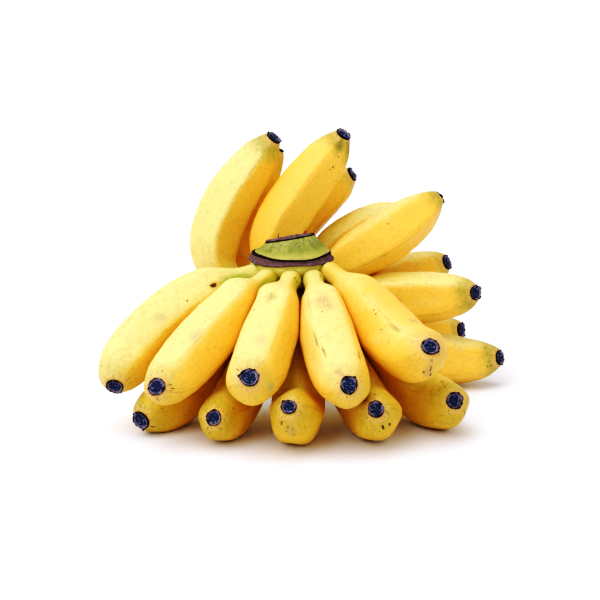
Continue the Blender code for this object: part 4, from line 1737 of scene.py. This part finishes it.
FRUITS: tuple[Fruit, ...] = (
    Fruit(
        "front_upper_1", PLUMP, (-16.5, -10, 79), (-50, -20, 70.5), (-81, -38, 49), (-95.5, -64, 29),
        FULL_GIRTH, 20,
        painted_light_shift=0.4,
        marks=(
            Blemish(0.15, -70, 12.0, 2.2, LIME, 1.0, True),
            Blemish(0.266, -66, 3.8, 1.3, RIM, 0.8, True), Blemish(0.272, -68, 3.0, 1.3),
            Blemish(0.94, 14, 0.7), Blemish(0.805, 0, 0.6), Blemish(0.431, -68, 0.7),
            Blemish(0.6, -60, 6.0, 1.6, GREY, 0.6, True),
        ),
    ),
    Fruit(
        "front_upper_2", PLUMP, (-11, -18, 79.5), (-31, -41, 66.5), (-56, -68, 43.5), (-70, -92, 36.5),
        GIRTH, 0, 3.0, 20,
        marks=(
            Blemish(0.985, -80, 1.6, 2.5), Blemish(0.975, -95, 1.2, 2.0),
            Blemish(0.965, -14, 1.0, 1.0, RUST, 0.7), Blemish(0.64, -27, 6.0, 1.5, GREY, 0.7, True),
            Blemish(0.13, -62, 8.0, 1.8, LIME, 0.8, True),
            Blemish(0.543, -22, 0.6, 1.0, OLIVE, 0.7),
        ),
    ),
    Fruit(
        "front_upper_3", PLUMP, (1, -20, 79.5), (-8, -48, 65.5), (-17, -77, 45), (-21, -108, 46),
        GIRTH, 0, 3.5, 70,
        end_size=1.05,
        marks=(
            Blemish(0.315, 4, 5.0, 1.2, OLIVE, 0.6, True), Blemish(0.417, 27, 0.8, 1.0, OLIVE, 0.8),
            Blemish(0.84, 36, 1.4, 1.6, RUST, 0.6), Blemish(0.93, -108, 4.0, 1.0, GREY, 0.9, True),
            Blemish(0.085, -45, 1.2, 1.0), Blemish(0.092, -66, 1.6, 1.8),
            Blemish(0.66, -10, 8.0, 2.0, GREY, 0.5, True), Blemish(0.975, 50, 1.6, 1.6, RUST, 0.6),
        ),
    ),
    Fruit(
        "front_upper_4", PLUMP, (12, -18, 79.5), (17, -46, 65.5), (25, -77, 44.5), (30, -108, 42),
        GIRTH, 0, 2.0, -60,
        marks=(
            Blemish(0.34, 5, 8.0, 1.2, BEIGE, 0.8, True), Blemish(0.325, 16, 0.6, 1.0, RUST, 0.7),
            Blemish(0.418, 14, 0.8, 1.5, OLIVE, 0.8), Blemish(0.60, 42, 9.0, 8.0, OLIVE, 0.8, True),
            Blemish(0.72, 34, 7.0, 7.0, RUST, 0.8, True),
            Blemish(0.79, -36, 6.0, 6.0, RUST, 0.8, True), Blemish(0.078, -36, 1.5, 1.2, RUST, 0.8),
            Blemish(0.97, 30, 4.0, 1.0, BEIGE, 0.9, True),
        ),
    ),
    Fruit(
        "front_upper_5", PLUMP, (18, -11, 81), (37, -30, 70), (58, -56, 51), (73, -88, 57),
        FULL_GIRTH, 0, 1.2, -50,
        swells=(Swell(0.87, -62, 9.0, 2.2), Swell(0.745, -45, 6.0, -0.8)),
        painted_light_shift=-0.3,
        end_size=1.03,
        marks=(
            Blemish(0.52, 45, 0.7), Blemish(0.49, 43, 0.6), Blemish(0.63, 58, 0.9, 1.5, OLIVE, 0.8),
            Blemish(0.76, 72, 0.7, 1.0, OLIVE, 0.8), Blemish(0.69, -10, 5.0, 1.2, BEIGE, 0.9, True),
            Blemish(0.73, 40, 12.0, 8.0, OLIVE, 0.7, True),
            Blemish(0.945, -180, 5.0, 1.0, BEIGE, 0.9, True),
            Blemish(0.955, -176, 1.8, 2.0, RUST, 0.9), Blemish(0.92, -170, 1.6, 1.8),
            Blemish(0.935, 168, 0.9),
        ),
    ),
    Fruit(
        "front_lower_1", LYING, (-17, -4, 67), (-51, -27, 26), (-69, -46, 13.5), (-81.5, -65, 10),
        GIRTH, 36,
        end_size=1.15,
        marks=(
            Blemish(0.985, -140, 1.4, 1.5), Blemish(0.94, 58, 0.7, 1.0, OLIVE, 0.8),
        ),
    ),
    Fruit(
        "front_lower_2", LYING, (-11, -13, 66), (-24, -38, 26), (-34.5, -63, 13.2), (-40.5, -89, 18.5),
        14.0, 36,
        end_size=0.9,
        marks=(
            Blemish(0.92, -58, 1.0, 1.5, RUST, 0.8),
        ),
    ),
    Fruit(
        "front_lower_3", LYING, (1, -17, 66), (3.5, -46, 25), (3.3, -72, 14.2), (-0.7, -104, 29),
        15.0, 36,
        end_size=0.85,
        marks=(
            Blemish(0.97, 158, 1.8, 1.2, RUST, 0.9), Blemish(0.955, 180, 1.3, 1.0, RUST, 0.8),
            Blemish(0.945, -166, 1.2, 1.4, RUST, 0.8), Blemish(0.93, 176, 1.0, 1.0, RUST, 0.8),
            Blemish(0.91, -166, 1.1, 1.3, OLIVE, 0.9),
            Blemish(0.94, -172, 5.0, 1.0, BEIGE, 0.8, True),
        ),
    ),
    Fruit(
        "front_lower_4", LYING, (12, -14, 66), (34, -42, 25), (44.5, -67, 14.5), (44.7, -98, 26),
        14.7, 36,
        end_size=0.94,
        marks=(
            Blemish(0.955, -148, 2.0, 1.4), Blemish(0.94, -124, 1.8, 1.2), Blemish(0.96, 18, 0.8),
            Blemish(0.97, 58, 0.8), Blemish(0.90, 58, 7.0, 1.4, OLIVE, 0.8, True),
        ),
    ),
    Fruit(
        "front_lower_5", LYING, (19, -5, 67), (58, -27, 28), (79, -46, 15), (88, -74, 23.5),
        15.2, 36,
        marks=(
            Blemish(0.95, -126, 2.6, 3.0, RUST, 0.9), Blemish(0.91, -122, 1.4, 2.0),
            Blemish(0.89, 18, 3.0, 5.0, RUST, 0.8), Blemish(0.95, 27, 2.6, 4.0, OLIVE, 0.8),
            Blemish(0.90, -14, 2.4, 4.0, OLIVE, 0.8),
        ),
    ),
    Fruit(
        "back_front_1", UPRIGHT, (-16, 46, 58), (-47.5, 56, 77), (-36.3, 62, 113.5), (-10.6, 62, 149.2),
        15.6, -22,
        painted_light_shift=0.55,
        end_lean=12,
    ),
    Fruit(
        "back_front_2", UPRIGHT, (-12, 47, 53), (-12.5, 53, 86), (8.8, 59, 120), (32, 62, 152),
        15.3, 33,
        painted_light_shift=-0.5,
        end_lean=20,
        marks=(
            Blemish(0.96, -58, 8.0, 1.3, OLIVE, 1.0, True),
            Blemish(0.95, 0, 10.0, 1.3, OLIVE, 1.0, True),
            Blemish(0.91, 12, 6.0, 1.6, OLIVE, 1.0, True), Blemish(0.82, -40, 0.9, 1.0, RUST, 0.9),
            Blemish(0.80, -44, 0.6), Blemish(0.88, -42, 0.7), Blemish(0.73, 8, 1.5, 2.0),
        ),
    ),
    Fruit(
        "back_front_3", SPREAD, (7, 47, 63), (42, 50, 80), (67, 58, 95), (90, 72, 110),
        GIRTH, 0,
        painted_light_shift=-0.25,
        marks=(
            Blemish(0.593, 54, 0.8, 1.0, OLIVE, 0.7), Blemish(0.81, 14, 1.0, 1.0, OLIVE, 0.8),
        ),
    ),
    Fruit(
        "back_front_4", SPREAD, (17, 45, 53), (60, 42, 53), (88, 40, 54.5), (110.5, 30, 59.5),
        GIRTH, 10,
        end_lean=8,
        marks=(
            Blemish(0.486, 81, 3.0, 1.6, RIM, 0.8, True),
        ),
    ),
    Fruit(
        "back_front_5", SPREAD, (19, 44, 41), (64, 38, 22.5), (99, 36, 16), (128, 34, 18.5),
        GIRTH, 0,
        end_lean=22,
        marks=(
            Blemish(0.93, 27, 1.2), Blemish(0.945, 99, 1.3, 2.0), Blemish(0.975, 104, 1.5, 1.6),
            Blemish(0.95, 50, 0.7),
        ),
    ),
    Fruit(
        "back_rear_1", SPREAD, (-11, 64, 56), (-42, 86, 80), (-32, 95, 108), (-9.8, 98, 137.6),
        GIRTH, 0,
        painted_light_shift=-0.1,
    ),
    Fruit(
        "back_rear_2", SPREAD, (0, 65, 60), (-3, 82, 80), (13, 92, 102), (39, 98, 122),
        14.5, 0,
        end_lean=20,
    ),
    Fruit(
        "back_rear_3", SPREAD, (6, 64, 62), (31, 82, 78), (53, 93, 89), (70, 106, 96),
        14.5, 0,
        end_size=0.83,
    ),
    Fruit(
        "back_rear_4", SPREAD, (17, 62, 46), (54, 78, 53), (79, 86, 59), (100, 88, 67),
        GIRTH, 0,
        end_lean=24,
    ),
    Fruit(
        "back_rear_5", SPREAD, (17, 60, 34), (58, 80, 20), (86, 93, 16), (112, 98, 20),
        GIRTH, 0,
        end_lean=30,
    ),
)

FINISHES: dict[Row, PeelFinish] = {
    Row.FRONT_UPPER: PeelFinish(),
    # The lower row's peel is a darker, deeper yellow copy: painted shade from the row above it; its olive
    # tips and freckles are its own
    Row.FRONT_LOWER: PeelFinish(
        lemon=linear(232, 204, 104), golden=linear(236, 188, 78), amber=linear(212, 150, 56),
        dusty=linear(200, 172, 96), olive=linear(156, 144, 70), olive_tip=0.5, freckled=0.8,
    ),
    Row.BACK_FRONT: PeelFinish(olive_tip=0.8, freckled=0.7),
    # The rear row's amber is lighter, so that its painted shade is paler
    Row.BACK_REAR: PeelFinish(amber=linear(244, 182, 66), greenness=0.4, olive_tip=0.5),
}


def main() -> None:
    """Build the studio and the bunch, and report each piece."""
    logging.basicConfig(level=logging.INFO, format="%(name)s: %(message)s")
    Studio().build()
    Bunch(FRUITS, FINISHES).build()


if __name__ == "__main__":
    main()
